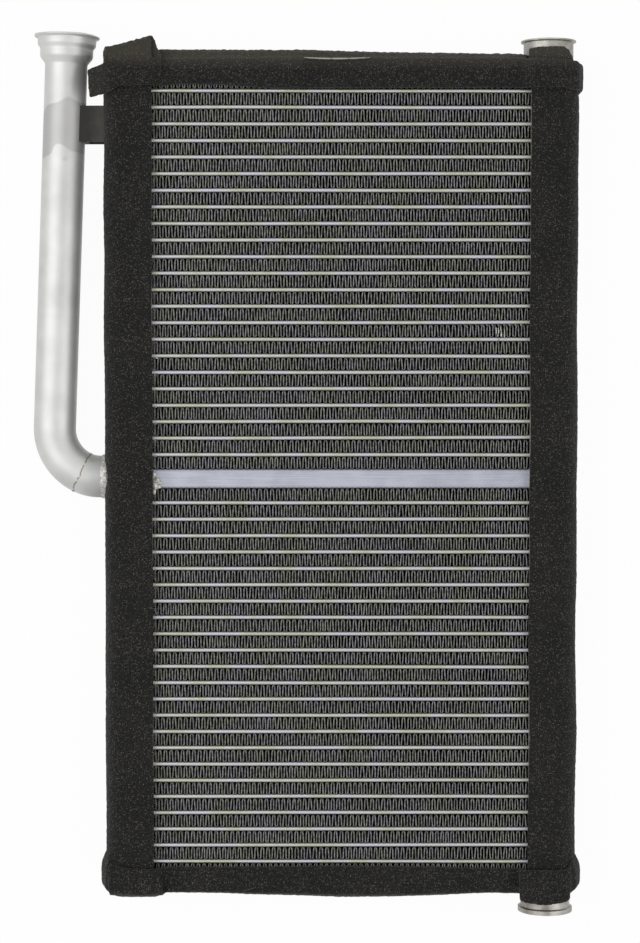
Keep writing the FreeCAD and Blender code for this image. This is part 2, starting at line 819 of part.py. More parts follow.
# Side foam: tape folded round the header, from the core's face to the core's back.
def make_side_foam(label, side, end_top, end_bottom):
    body = new_body(label)
    sketch = new_sketch(body, "XZ", offset=-end_top)
    inner_turn = size("foam_corner") - size("foam_thickness") + size("foam_gap")
    edge = FOAM_EDGE * side
    flat = FOAM_FLAT * side
    inner_flat = (FOAM_INNER_SIDE - inner_turn) * side
    outer_side = FOAM_SIDE * side
    inner_side = FOAM_INNER_SIDE * side
    inner_rise = FOAM_INNER - inner_turn
    away = side > 0
    corners = [
        (edge, -FOAM_OUTER),
        (flat, -FOAM_OUTER),
        (outer_side, -FOAM_RISE),
        (outer_side, FOAM_RISE),
        (flat, FOAM_OUTER),
        (edge, FOAM_OUTER),
        (edge, FOAM_INNER),
        (inner_flat, FOAM_INNER),
        (inner_side, inner_rise),
        (inner_side, -inner_rise),
        (inner_flat, -FOAM_INNER),
        (edge, -FOAM_INNER),
    ]
    arcs = {
        1: ((flat, -FOAM_RISE), away),
        3: ((flat, FOAM_RISE), away),
        7: ((inner_flat, inner_rise), not away),
        9: ((inner_flat, -inner_rise), not away),
    }
    outline(sketch, corners, arcs)
    grow(body, "Pad", sketch, end_top + end_bottom)
    return body


# Left foam: cut open for the stub and the bracket, its top end trimmed on the slant.
def make_left_foam():
    high_end = FOAM_TOP + size("foam_left_high_end")
    low_end = FOAM_TOP + size("foam_left_low_end")
    body = make_side_foam("foam_left", -1, high_end, STACK_HALF)
    stub_hole = new_sketch(body, "YZ", offset=-FOAM_SIDE)
    clearance = size("pipe_radius") + size("bead_width") + size("foam_gap") * 2
    ring(stub_hole, [clearance], (size("inlet_height"), 0))
    grow(body, "Pocket", stub_hole, FOAM_SIDE - HEADER_X, reverse=True)
    slit = new_sketch(body, "YZ", offset=-FOAM_SIDE)
    half = size("bracket_height") / 2 + size("foam_gap")
    reach = size("bracket_depth") / 2 + size("foam_gap")
    rectangle(slit, BRACKET_MIDDLE - half, -reach, BRACKET_MIDDLE + half, reach)
    grow(body, "Pocket", slit, FOAM_SIDE - HEADER_X, reverse=True)
    trim = new_sketch(body, "XY")
    outline(trim, [(-FOAM_SIDE, low_end), (-FOAM_EDGE, high_end), (-FOAM_SIDE, high_end)])
    grow(body, "Pocket", trim, FOAM_OUTER * 2, both_ways=True)
    return body


# Right foam: its front runs on past both ends, before the upper and lower collars.
def make_right_foam():
    reach = FOAM_TOP + size("tab_rise")
    drop = FOAM_TOP + size("sleeve_drop")
    body = make_side_foam("foam_right", 1, reach, drop)
    for end, far in ((1, reach), (-1, drop)):
        behind = new_sketch(body, "YZ")
        rectangle(behind, STACK_HALF * end, -FOAM_OUTER, far * end, FOAM_RISE)
        grow(body, "Pocket", behind, FOAM_SIDE * 2, both_ways=True)
        trim = new_sketch(body, "XY")
        outline(trim, [(FOAM_FLAT, far * end), (FOAM_SIDE, FOAM_TOP * end), (FOAM_SIDE, far * end)])
        grow(body, "Pocket", trim, FOAM_OUTER * 2, both_ways=True)
    return body


def wrap(side, inner):
    """The tape's course round one side of the core, from its front to its back."""
    across = WRAP_INNER_SIDE if inner else WRAP_OUTER_SIDE
    rise = OVER_INNER if inner else OVER_OUTER
    channel_rise = CHANNEL_FOAM_INNER if inner else CHANNEL_FOAM_OUTER
    step_out = FOAM_EDGE - size("foam_gap")
    step_in = step_out - size("foam_step")
    return [
        (step_in * side, channel_rise),
        (step_out * side, rise),
        (FOAM_FLAT * side, rise),
        (across * side, FOAM_RISE),
        (across * side, -FOAM_RISE),
        (FOAM_FLAT * side, -rise),
        (step_out * side, -rise),
        (step_in * side, -channel_rise),
    ]


def wrap_arcs(first, side, forwards, left_turn):
    """The two rounded corners of a wrap whose first corner has this number."""
    front = (FOAM_FLAT * side, FOAM_RISE)
    back = (FOAM_FLAT * side, -FOAM_RISE)
    near, far = (front, back) if forwards else (back, front)
    return {first + 2: (near, left_turn), first + 4: (far, left_turn)}


# End foam: tape folded over a side channel and wrapped round the side foam. Its top
# left end hangs loose as a flap.
def make_end_foam(label, end):
    body = new_body(label)
    start = -FOAM_TOP if end > 0 else FOAM_WINDOW
    left = size("foam_end_inset") - FOAM_SIDE
    ribbon = new_sketch(body, "XZ", offset=start)
    if end > 0:
        step_out = FOAM_EDGE - size("foam_gap")
        step_in = step_out - size("foam_step")
        outer_left = [(-step_out, OVER_OUTER), (-step_in, CHANNEL_FOAM_OUTER)]
        inner_left = [(-step_in, CHANNEL_FOAM_INNER), (-step_out, OVER_INNER)]
        outer_back = [(-step_in, -CHANNEL_FOAM_OUTER), (-step_out, -OVER_OUTER)]
        inner_back = [(-step_out, -OVER_INNER), (-step_in, -CHANNEL_FOAM_INNER)]
        corners = [(left, OVER_OUTER)] + outer_left + wrap(1, False) + outer_back
        corners += [(left, -OVER_OUTER), (left, -OVER_INNER)] + inner_back
        back_start = len(corners)
        corners += wrap(1, True)[::-1] + inner_left + [(left, OVER_INNER)]
        arcs = wrap_arcs(3, 1, True, False)
        arcs.update(wrap_arcs(back_start, 1, False, True))
        outline(ribbon, corners, arcs)
    else:
        for inner in (False, True):
            arcs = wrap_arcs(0, 1, True, False)
            arcs.update(wrap_arcs(8, -1, False, False))
            outline(ribbon, wrap(1, inner) + wrap(-1, inner)[::-1], arcs)
    grow(body, "Pad", ribbon, size("foam_lap"))
    web = new_sketch(body, "YZ")
    near = (STACK_HALF + size("foam_gap")) * end
    far = FOAM_TOP * end
    rectangle(web, near, -CHANNEL_FOAM_INNER, far, CHANNEL_FOAM_INNER)
    web_half = FOAM_EDGE - size("foam_gap") - size("foam_step")
    grow(body, "Pad", web, web_half * 2, both_ways=True)
    if end > 0:
        flap = new_sketch(body, "XY", offset=OVER_INNER)
        tip = left - size("flap_reach")
        low = FOAM_WINDOW - size("flap_drop")
        outline(
            flap,
            [
                (left + size("flap_root"), FOAM_WINDOW),
                (left, FOAM_WINDOW + size("flap_shoulder")),
                (tip, low + size("flap_height")),
                (tip + size("flap_lean"), low),
                (left + size("foam_end_inset"), low + size("foam_thickness")),
            ],
        )
        grow(body, "Pad", flap, size("foam_thickness"))
    return body


make_tubes("upper_tubes", 1)
make_tubes("lower_tubes", -1)
make_fins("upper_fins", 1)
make_fins("lower_fins", -1)
make_channel("top_channel", CHANNEL_START, STACK_HALF, True)
make_channel("bottom_channel", -CHANNEL_START, -STACK_HALF, False)
make_centre_bar()
make_header_plate("left_header_plate", -1)
make_header_plate("right_header_plate", 1)
make_header_tank("left_header_tank", -1)
make_header_tank("right_header_tank", 1)
make_cap("left_top_cap", -1, 1)
make_cap("left_bottom_cap", -1, -1)
make_collar("outlet_collar", 1)
make_collar("lower_collar", -1)
make_plug()
make_inlet_pipe()
make_inlet_stub()
make_weld_bead()
make_braze_ring()
make_bracket()
make_left_foam()
make_right_foam()
make_end_foam("foam_top", 1)
make_end_foam("foam_bottom", -1)
doc.recompute()

# The whole part's box gives the one step that puts the origin at its bottom centre.
whole = Part.makeCompound([item.Shape for item in sub_parts])
box = whole.optimalBoundingBox(False, False)
step_to_origin = FreeCAD.Vector(-(box.XMin + box.XMax) / 2, -(box.YMin + box.YMax) / 2, -box.ZMin)
for item in sub_parts:
    item.Placement.Base = item.Placement.Base + step_to_origin
doc.recompute()

for item in doc.Objects:
    if "Invalid" in item.State or "Error" in item.State:
        raise RuntimeError(f"{item.Label}: {item.State}")
for item in sub_parts:
    if item.Shape.isNull() or not item.Shape.isValid():
        raise RuntimeError(f"{item.Label}: the shape is empty or not valid")

os.makedirs(PARTS_FOLDER, exist_ok=True)
for item in sub_parts:
    item.Shape.exportStep(os.path.join(PARTS_FOLDER, f"{item.Label}.step"))
    print(item.Label, len(item.Shape.Solids), round(item.Shape.Volume, 1))
print("box", box.XLength, box.YLength, box.ZLength, "step", step_to_origin)
for name, middle in (
    ("cup start", (CUP_START_X, CUP_START_Y)),
    ("collar top", (HEADER_X, COLLAR_TOP)),
):
    print(name, middle[0].number + step_to_origin.x, middle[1].number + step_to_origin.y)
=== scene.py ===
"""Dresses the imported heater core: fins, tubes, pipe, collars and foam tape in a white studio.

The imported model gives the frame: X runs along the tubes, Y along the headers towards the
two ports, and Z leaves the core's front face. Sizes below are in metres, written as
millimetres times MM, and places are measured from the middle of the core.
"""

import logging
import math
import random
from dataclasses import dataclass
from enum import Enum

import bmesh
import bpy
from bmesh.types import BMEdge, BMesh, BMFace, BMVert
from bpy.types import Material, Node, NodeSocket, NodeTree, Object
from mathutils import Matrix, Vector, noise

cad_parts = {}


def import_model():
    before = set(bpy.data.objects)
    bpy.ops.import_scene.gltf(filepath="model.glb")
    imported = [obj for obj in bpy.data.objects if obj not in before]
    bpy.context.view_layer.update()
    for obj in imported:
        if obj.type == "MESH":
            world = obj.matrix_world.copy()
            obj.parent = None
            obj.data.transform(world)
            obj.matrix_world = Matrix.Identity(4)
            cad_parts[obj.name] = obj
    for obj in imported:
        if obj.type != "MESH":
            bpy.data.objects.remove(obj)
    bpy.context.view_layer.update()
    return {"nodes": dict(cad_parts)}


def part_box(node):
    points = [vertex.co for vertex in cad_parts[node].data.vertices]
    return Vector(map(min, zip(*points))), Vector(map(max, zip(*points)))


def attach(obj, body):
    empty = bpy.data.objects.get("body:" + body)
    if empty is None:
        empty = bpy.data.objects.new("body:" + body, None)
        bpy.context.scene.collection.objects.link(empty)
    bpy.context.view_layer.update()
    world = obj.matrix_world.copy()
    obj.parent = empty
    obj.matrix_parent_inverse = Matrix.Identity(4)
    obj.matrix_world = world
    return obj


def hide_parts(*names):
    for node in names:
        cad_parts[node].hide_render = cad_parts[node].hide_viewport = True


LOG = logging.getLogger("heater_core")
MM = 0.001


class Slot(Enum):
    """The record's material slot names."""

    TUBE = "tube_aluminium"
    FIN = "fin_aluminium"
    PIPE = "pipe_aluminium"
    BRAZE = "braze_filler"
    FOAM = "foam_tape"


class End(Enum):
    """The two ends of the core along Y, by the sign of their side."""

    TOP = 1
    BOTTOM = -1


class Side(Enum):
    """The two sides of the core along X, by the sign of their side."""

    LEFT = -1
    RIGHT = 1


# Materials


def linear(hex_colour: str) -> tuple[float, float, float, float]:
    """Turns an sRGB hex colour to linear.

    Args:
        hex_colour: The colour as "#rrggbb".

    Returns:
        The linear red, green and blue, and an alpha of 1.
    """
    parts = [int(hex_colour[start : start + 2], 16) / 255 for start in (1, 3, 5)]
    values = [part / 12.92 if part <= 0.04045 else ((part + 0.055) / 1.055) ** 2.4 for part in parts]
    return (*values, 1.0)


def add_node(
    tree: NodeTree, kind: str, inputs: dict, stops: dict | None = None, **settings: object
) -> Node:
    """Adds one node with its settings, colour stops, input values and links.

    Args:
        tree: The node tree.
        kind: The node's type name, without the ShaderNode before it.
        inputs: Input sockets by name or number, each with a value, an output to link, or a
            node, which is linked from the first output that it uses. A Mix of colours takes
            its share at 0 and its colours at 6 and 7.
        stops: A ramp's hex colours by their place from 0 to 1.
        settings: The node's own properties.

    Returns:
        The new node.
    """
    node = tree.nodes.new("ShaderNode" + kind)
    for name, value in settings.items():
        setattr(node, name, value)
    for number, (place, colour) in enumerate(sorted((stops or {}).items())):
        elements = node.color_ramp.elements
        element = elements[number] if number < 2 else elements.new(place)
        element.position = place
        element.color = linear(colour)
    for key, value in inputs.items():
        source = value
        if isinstance(value, Node):
            source = next(output for output in value.outputs if output.enabled)
        if isinstance(source, NodeSocket):
            tree.links.new(source, node.inputs[key])
        else:
            node.inputs[key].default_value = source
    return node


def start_material(name: str) -> tuple[Material, NodeTree, NodeSocket]:
    """Starts a material with nodes and Object coordinates.

    Args:
        name: The material's name.

    Returns:
        The material, its node tree and the Object coordinate output.
    """
    material = bpy.data.materials.new(name)
    material.use_nodes = True
    tree = material.node_tree
    tree.nodes.clear()
    return material, tree, add_node(tree, "TexCoord", {}).outputs["Object"]


def end_material(tree: NodeTree, inputs: dict, bump: dict | None = None) -> None:
    """Ends a material with its bump, its shader and its output.

    Args:
        tree: The node tree.
        inputs: The shader's inputs.
        bump: The bump's inputs, for a skin that isn't even.
    """
    if bump:
        inputs = {**inputs, "Normal": add_node(tree, "Bump", bump)}
    shader = add_node(tree, "BsdfPrincipled", inputs)
    add_node(tree, "OutputMaterial", {"Surface": shader})


@dataclass(frozen=True)
class BrazedTubeFinish:
    """Extruded aluminium tube after flux brazing.

    The face is bare and satin. Thin flux residue gives it pale and slightly yellow patches.
    """

    warm: str = "#a9aa9b"
    plain: str = "#b3b3ae"
    cool: str = "#b3b1b9"
    patch: float = 11.0 * MM
    grain: float = 0.5 * MM

    def build(self) -> Material:
        """Builds the material."""
        material, tree, place = start_material("brazed_aluminium_tube")
        patches = add_node(tree, "TexNoise", {"Vector": place, "Scale": 1 / self.patch})
        stops = {0.4: self.warm, 0.5: self.plain, 0.6: self.cool}
        colour = add_node(tree, "ValToRGB", {"Fac": patches}, stops)
        grain = add_node(tree, "TexNoise", {"Vector": place, "Scale": 1 / self.grain})
        bump = {"Height": grain, "Strength": 0.25, "Distance": 0.05 * MM}
        end_material(tree, {"Base Color": colour, "Metallic": 0.8, "Roughness": 0.42}, bump)
        return material


@dataclass(frozen=True)
class FinFinish:
    """Rolled aluminium fin strip, folded and brazed.

    The louvred legs look dull grey with lilac and green casts. Painted shade darkens the
    folds' roots at the tubes, and painted shade darkens the sheet inside the core with its
    distance from either face.
    """

    middle: Vector
    cool: str = "#858389"
    warm: str = "#83837a"
    dull: str = "#545451"
    # Painted shade: the root colour darkens the folds where they meet the tubes.
    root: str = "#242423"
    # Painted shade: the deep colour is what the sheet darkens to inside the core.
    deep: str = "#181817"
    half_depth: float = 7.8 * MM
    full_shade_share: float = 0.78
    no_shade_share: float = 0.98
    first_row: float = 3.65 * MM
    row_pitch: float = 6.19 * MM
    row_height: float = 4.69 * MM
    root_shade_height: float = 0.6 * MM
    cast: float = 9.0 * MM
    leg: float = 1.3 * MM

    def build(self) -> Material:
        """Builds the material."""
        material, tree, place = start_material("rolled_aluminium_fin")
        offset = {0: place, 1: tuple(self.middle)}
        from_middle = add_node(tree, "VectorMath", offset, operation="SUBTRACT")
        axes = add_node(tree, "SeparateXYZ", {"Vector": from_middle})
        casts = add_node(tree, "TexNoise", {"Vector": place, "Scale": 1 / self.cast, "Detail": 1.0})
        tint = add_node(tree, "ValToRGB", {"Fac": casts}, {0.4: self.warm, 0.6: self.cool})
        legs = add_node(tree, "TexNoise", {"Vector": place, "Scale": 1 / self.leg, "Detail": 1.0})
        uneven = add_node(tree, "MapRange", {"Value": legs, "From Min": 0.35, "From Max": 0.65})
        face = add_node(tree, "Mix", {0: uneven, 6: linear(self.dull), 7: tint}, data_type="RGBA")
        # Painted shade: the legs darken towards their roots at the tubes, where shade falls between the
        # rows.
        away = add_node(tree, "Math", {0: axes.outputs["Y"]}, operation="ABSOLUTE")
        past_bar = add_node(tree, "Math", {0: away, 1: self.first_row}, operation="SUBTRACT")
        in_row = add_node(tree, "Math", {0: past_bar, 1: self.row_pitch}, operation="MODULO")
        from_top = add_node(tree, "Math", {0: self.row_height, 1: in_row}, operation="SUBTRACT")
        to_tube = add_node(tree, "Math", {0: in_row, 1: from_top}, operation="MINIMUM")
        clear = add_node(tree, "MapRange", {"Value": to_tube, "From Max": self.root_shade_height})
        root_shaded = add_node(tree, "Mix", {0: clear, 6: linear(self.root), 7: face}, data_type="RGBA")
        # Painted shade: the sheet darkens with its distance inside the core from either face.
        off_middle = add_node(tree, "Math", {0: axes.outputs["Z"]}, operation="ABSOLUTE")
        dark = self.half_depth * self.full_shade_share
        lit = self.half_depth * self.no_shade_share
        clear_of_depth_shade = add_node(tree, "MapRange", {"Value": off_middle, "From Min": dark, "From Max": lit})
        layers = {0: clear_of_depth_shade, 6: linear(self.deep), 7: root_shaded}
        colour = add_node(tree, "Mix", layers, data_type="RGBA")
        end_material(tree, {"Base Color": colour, "Metallic": 0.3, "Roughness": 0.65})
        return material


@dataclass(frozen=True)
class BarFinish:
    """Roll-formed aluminium bar: a matt, faintly lilac skin with lengthwise rolling marks."""

    light: str = "#adb0bb"
    shade: str = "#9c9faa"
    streak: float = 0.35 * MM
    stretch: float = 0.02
    patch: float = 9.0 * MM

    def build(self) -> Material:
        """Builds the material."""
        material, tree, place = start_material("rolled_aluminium_bar")
        drawn = add_node(tree, "Mapping", {"Vector": place, "Scale": (self.stretch, 1.0, 1.0)})
        streaks = add_node(tree, "TexNoise", {"Vector": drawn, "Scale": 1 / self.streak})
        patches = add_node(tree, "TexNoise", {"Vector": place, "Scale": 1 / self.patch})
        both = add_node(tree, "Math", {0: streaks, 1: patches}, operation="ADD")
        half = add_node(tree, "Math", {0: both, 1: 0.5}, operation="MULTIPLY")
        colour = add_node(tree, "ValToRGB", {"Fac": half}, {0.4: self.shade, 0.6: self.light})
        bump = {"Height": streaks, "Strength": 0.15, "Distance": 0.05 * MM}
        end_material(tree, {"Base Color": colour, "Metallic": 0.45, "Roughness": 0.5}, bump)
        return material


@dataclass(frozen=True)
class HeaderFinish:
    """Pressed aluminium sheet, brazed: satin, with soft grey flux clouds."""

    light: str = "#a8a6a2"
    shade: str = "#858178"
    cloud: float = 5.0 * MM
    relief: float = 0.2
    metallic: float = 0.75
    roughness: float = 0.4

    def build(self, name: str) -> Material:
        """Builds the material under a name."""
        material, tree, place = start_material(name)
        clouds = add_node(tree, "TexNoise", {"Vector": place, "Scale": 1 / self.cloud})
        colour = add_node(tree, "ValToRGB", {"Fac": clouds}, {0.35: self.shade, 0.65: self.light})
        looks = {"Base Color": colour, "Metallic": self.metallic, "Roughness": self.roughness}
        end_material(tree, looks, {"Height": clouds, "Strength": self.relief, "Distance": 0.1 * MM})
        return material


@dataclass(frozen=True)
class BrazeFinish(HeaderFinish):
    """Frozen aluminium filler: pale, rough and grainy, with brighter high spots."""

    light: str = "#c9c8c4"
    shade: str = "#96948f"
    cloud: float = 0.8 * MM
    relief: float = 0.3
    metallic: float = 0.5
    roughness: float = 0.42


@dataclass(frozen=True)
class PipeFinish:
    """Drawn aluminium tube: satin skin with fine lengthwise draw lines.

    Handling and flux have left a darker, lobed patch below the cup, and the skin is darker
    round the joint with the stub.
    """

    middle: Vector
    light: str = "#cccccb"
    shade: str = "#bebebc"
    stain: str = "#9a9997"
    draw_line: float = 0.3 * MM
    stretch: float = 0.03
    cloud: float = 12.0 * MM
    stain_top: float = 139.8 * MM
    stain_bottom: float = 121.5 * MM
    stain_lobe: float = 9.0 * MM
    stain_waver: float = 15.0 * MM
    stain_edge: float = 0.7 * MM
    stain_share: float = 0.55
    joint_dark: str = "#8f8f8c"
    joint: tuple = (-86.0 * MM, 0.0, 0.0)
    darkening_near: float = 8.0 * MM
    darkening_far: float = 15.0 * MM

    def build(self) -> Material:
        """Builds the material."""
        material, tree, place = start_material("drawn_aluminium_pipe")
        drawn = add_node(tree, "Mapping", {"Vector": place, "Scale": (1.0, self.stretch, 1.0)})
        lines = add_node(tree, "TexNoise", {"Vector": drawn, "Scale": 1 / self.draw_line})
        clouds = add_node(tree, "TexNoise", {"Vector": place, "Scale": 1 / self.cloud})
        clean = add_node(tree, "ValToRGB", {"Fac": clouds}, {0.35: self.shade, 0.65: self.light})
        rounded = {"Vector": place, "Scale": 1 / self.stain_lobe, "Detail": 0.0}
        lobes = add_node(tree, "TexNoise", rounded)
        waver = {0: lobes, 1: self.stain_waver, 2: -self.stain_waver / 2}
        reach = add_node(tree, "Math", waver, operation="MULTIPLY_ADD")
        axes = add_node(tree, "SeparateXYZ", {"Vector": place})
        height = add_node(tree, "Math", {0: axes.outputs["Y"], 1: reach}, operation="ADD")
        edges = ((self.stain_top, -self.stain_edge), (self.stain_bottom, self.stain_edge))
        below_top, above_bottom = [
            add_node(tree, "MapRange", {"Value": height, "From Min": edge, "From Max": edge + blur})
            for edge, blur in edges
        ]
        inside = add_node(tree, "Math", {0: below_top, 1: above_bottom}, operation="MULTIPLY")
        share = add_node(tree, "Math", {0: inside, 1: self.stain_share}, operation="MULTIPLY")
        stained = add_node(tree, "Mix", {0: share, 6: clean, 7: linear(self.stain)}, data_type="RGBA")
        # The skin darkens round the joint with the stub, near the foam.
        joint = {0: place, 1: tuple(self.middle + Vector(self.joint))}
        from_joint = add_node(tree, "VectorMath", joint, operation="DISTANCE")
        near = {"Value": from_joint, "From Min": self.darkening_near, "From Max": self.darkening_far}
        joint_darkening = add_node(tree, "MapRange", {**near, "To Min": 0.8, "To Max": 0.0})
        colour = add_node(tree, "Mix", {0: joint_darkening, 6: stained, 7: linear(self.joint_dark)}, data_type="RGBA")
        bump = {"Height": lines, "Strength": 0.12, "Distance": 0.05 * MM}
        end_material(tree, {"Base Color": colour, "Metallic": 0.5, "Roughness": 0.48}, bump)
        return material


@dataclass(frozen=True)
class BracketFinish:
    """Folded sheet in a dark satin coat, darker towards the pipe as painted shade from the pipe and paler
    towards the foam, in random patches.
    """

    middle: Vector
    coat: str = "#242321"
    paler_clear_of_pipe_shade: str = "#4f4d49"
    patch: float = 3.0 * MM
    uneven: float = 0.6
    pipe_end: float = -95.0 * MM
    foam_end: float = -87.0 * MM

    def build(self) -> Material:
        """Builds the material."""
        material, tree, place = start_material("dark_coated_sheet")
        patches = add_node(tree, "TexNoise", {"Vector": place, "Scale": 1 / self.patch})
        axes = add_node(tree, "SeparateXYZ", {"Vector": place})
        # Painted shade: the coat darkens towards the pipe, whose shadow falls on this end, and pales
        # towards the foam.
        start = self.middle.x + self.pipe_end
        finish = self.middle.x + self.foam_end
        course = {"Value": axes.outputs["X"], "From Min": start, "From Max": finish}
        along = add_node(tree, "MapRange", course)
        patch_spread = {0: patches, 1: self.uneven, 2: -self.uneven / 2}
        patch_offset = add_node(tree, "Math", patch_spread, operation="MULTIPLY_ADD")
        share = add_node(tree, "Math", {0: along, 1: patch_offset}, operation="ADD", use_clamp=True)
        layers = {0: share, 6: linear(self.coat), 7: linear(self.paler_clear_of_pipe_shade)}
        colour = add_node(tree, "Mix", layers, data_type="RGBA")
        end_material(tree, {"Base Color": colour, "Roughness": 0.7, "Specular IOR Level": 0.3})
        return material


@dataclass(frozen=True)
class FoamFinish:
    """Open-celled sealing foam: near black and dull, with pits and paler cell walls.

    The upper ends are paler, as painted light from above, and brown, the cut foam's own tone; the loose
    flap at the upper left is brown too.
    """

    middle: Vector
    body: str = "#171615"
    pit: str = "#050505"
    wall: str = "#4b4946"
    speck: str = "#716f6a"
    # Partly painted light: this paler brown lies on the upper ends, which face the light, and on the loose
    # flap.
    pale_brown: str = "#423f37"
    dim: str = "#d2d2d2"
    clear: str = "#ffffff"
    pore: float = 0.55 * MM
    cell: float = 0.68 * MM
    cloud: float = 14.0 * MM
    ends: tuple = (152.5 * MM, 158.0 * MM, 0.75)
    flap_across: tuple = (-84.0 * MM, -89.5 * MM, 0.35)
    flap_along: tuple = (138.0 * MM, 144.0 * MM, 1.0)

    def build(self) -> Material:
        """Builds the material."""
        material, tree, place = start_material("open_cell_foam_tape")
        pores = add_node(tree, "TexVoronoi", {"Vector": place, "Scale": 1 / self.pore})
        fine = {"Vector": place, "Scale": 1 / self.pore, "Detail": 2.0, "Roughness": 0.6}
        skin = add_node(tree, "TexNoise", fine)
        stops = {0.34: self.pit, 0.46: self.body, 0.57: self.body, 0.7: self.wall}
        mottle = add_node(tree, "ValToRGB", {"Fac": skin}, stops)
        cells = add_node(tree, "TexVoronoi", {"Vector": place, "Scale": 1 / self.cell})
        chosen = add_node(tree, "SeparateXYZ", {"Vector": cells.outputs["Color"]})
        dot = add_node(tree, "MapRange", {"Value": cells, "From Min": 0.38, "From Max": 0.14})
        some = add_node(tree, "MapRange", {"Value": chosen, "From Min": 0.2, "From Max": 1.2})
        bright = add_node(tree, "Math", {0: dot, 1: some}, operation="MULTIPLY")
        clouds = add_node(tree, "TexNoise", {"Vector": place, "Scale": 1 / self.cloud})
        veil = add_node(tree, "ValToRGB", {"Fac": clouds}, {0.35: self.dim, 0.65: self.clear})
        layers = {0: 1.0, 6: mottle, 7: veil}
        veiled = add_node(tree, "Mix", layers, data_type="RGBA", blend_type="MULTIPLY")
        # Partly painted light: the upper ends turn paler brown as if lit from above, along with the cut
        # foam's own brown; the loose flap browns too.
        axes = add_node(tree, "SeparateXYZ", {"Vector": place})
        brown_ramps = []
        for axis, (start, finish, most) in ((1, self.ends), (0, self.flap_across), (1, self.flap_along)):
            course = {"From Min": self.middle[axis] + start, "From Max": self.middle[axis] + finish}
            course |= {"Value": axes.outputs[axis], "To Max": most}
            brown_ramps.append(add_node(tree, "MapRange", course))
        loose = add_node(tree, "Math", {0: brown_ramps[1], 1: brown_ramps[2]}, operation="MULTIPLY")
        lit_and_brown_share = add_node(tree, "Math", {0: brown_ramps[0], 1: loose}, operation="MAXIMUM")
        lit_and_browned = add_node(tree, "Mix", {0: lit_and_brown_share, 6: veiled, 7: linear(self.pale_brown)}, data_type="RGBA")
        colour = add_node(tree, "Mix", {0: bright, 6: lit_and_browned, 7: linear(self.speck)}, data_type="RGBA")
        height = add_node(tree, "Math", {0: pores, 1: skin}, operation="ADD")
        looks = {"Base Color": colour, "Roughness": 0.95, "Specular IOR Level": 0.25, "Sheen Weight": 0.1}
        end_material(tree, looks, {"Height": height, "Strength": 0.9, "Distance": 0.3 * MM})
        return material


@dataclass(frozen=True)
class GapLightFinish:
    """Painted light seen through the top tape's parted layers: matt and pale, with darker patches."""

    light: str = "#a9a79f"
    dim_patch: str = "#6d6b63"
    patch: float = 2.5 * MM

    def build(self) -> Material:
        """Builds the material."""
        material, tree, place = start_material("painted_gap_light")
        patches = add_node(tree, "TexNoise", {"Vector": place, "Scale": 1 / self.patch})
        colour = add_node(tree, "ValToRGB", {"Fac": patches}, {0.35: self.dim_patch, 0.55: self.light})
        end_material(tree, {"Base Color": colour, "Roughness": 0.8})
        return material


# Mesh helpers


def add_piece(name: str, bm: BMesh, material: Material) -> Object:
    """Makes an object at the origin from a bmesh, and puts it on the core's body.

    Args:
        name: The piece's name.
        bm: The finished bmesh, which is freed.
        material: The piece's material.

    Returns:
        The new object.
    """
    bmesh.ops.recalc_face_normals(bm, faces=bm.faces)
    mesh = bpy.data.meshes.new(name)
    bm.to_mesh(mesh)
    bm.free()
    mesh.materials.append(material)
    piece = bpy.data.objects.new(name, mesh)
    bpy.context.scene.collection.objects.link(piece)
    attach(piece, "root")
    LOG.info("%s: %d faces", name, len(mesh.polygons))
    return piece


def smooth(piece: Object, angle: float) -> None:
    """Shades a piece smooth, with edges sharper than the angle, in degrees, kept crisp."""
    mesh = piece.data
    mesh.polygons.foreach_set("use_smooth", [True] * len(mesh.polygons))
    mesh.set_sharp_from_angle(angle=math.radians(angle))


def sheet_along(bm: BMesh, path: list[Vector], sweep: Vector, bend: float) -> list[BMFace]:
    """Sweeps a line of straight runs into a sheet and rounds its corners.

    Args:
        bm: The bmesh that takes the sheet.
        path: The line's corners.
        sweep: The sweep's direction and length.
        bend: The radius at the corners.

    Returns:
        The sheet's faces.
    """
    before = set(bm.faces)
    verts = [bm.verts.new(corner) for corner in path]
    edges = [bm.edges.new(pair) for pair in zip(verts, verts[1:])]
    made = bmesh.ops.extrude_edge_only(bm, edges=edges)
    far = [item for item in made["geom"] if isinstance(item, BMVert)]
    bmesh.ops.translate(bm, verts=far, vec=sweep)
    lengthwise = [edge for vert in verts[1:-1] for edge in vert.link_edges if edge.other_vert(vert) in far]
    if bend > 0 and lengthwise:
        bmesh.ops.bevel(
            bm,
            geom=lengthwise,
            offset=bend,
            offset_type="OFFSET",
            segments=8,
            profile=0.5,
            affect="EDGES",
            material=-1,
        )
    return [face for face in bm.faces if face not in before]


def thicken(bm: BMesh, faces: list[BMFace], wall: float, inside: Vector) -> None:
    """Gives a sheet its wall, on the side that a point inside lies.

    Args:
        bm: The bmesh.
        faces: The sheet's faces.
        wall: The wall's thickness.
        inside: A point on the side that the wall grows to.
    """
    bmesh.ops.recalc_face_normals(bm, faces=faces)
    facing = sum((inside - face.calc_center_median()).dot(face.normal) * face.calc_area() for face in faces)
    bmesh.ops.solidify(bm, geom=faces, thickness=-wall if facing > 0 else wall)


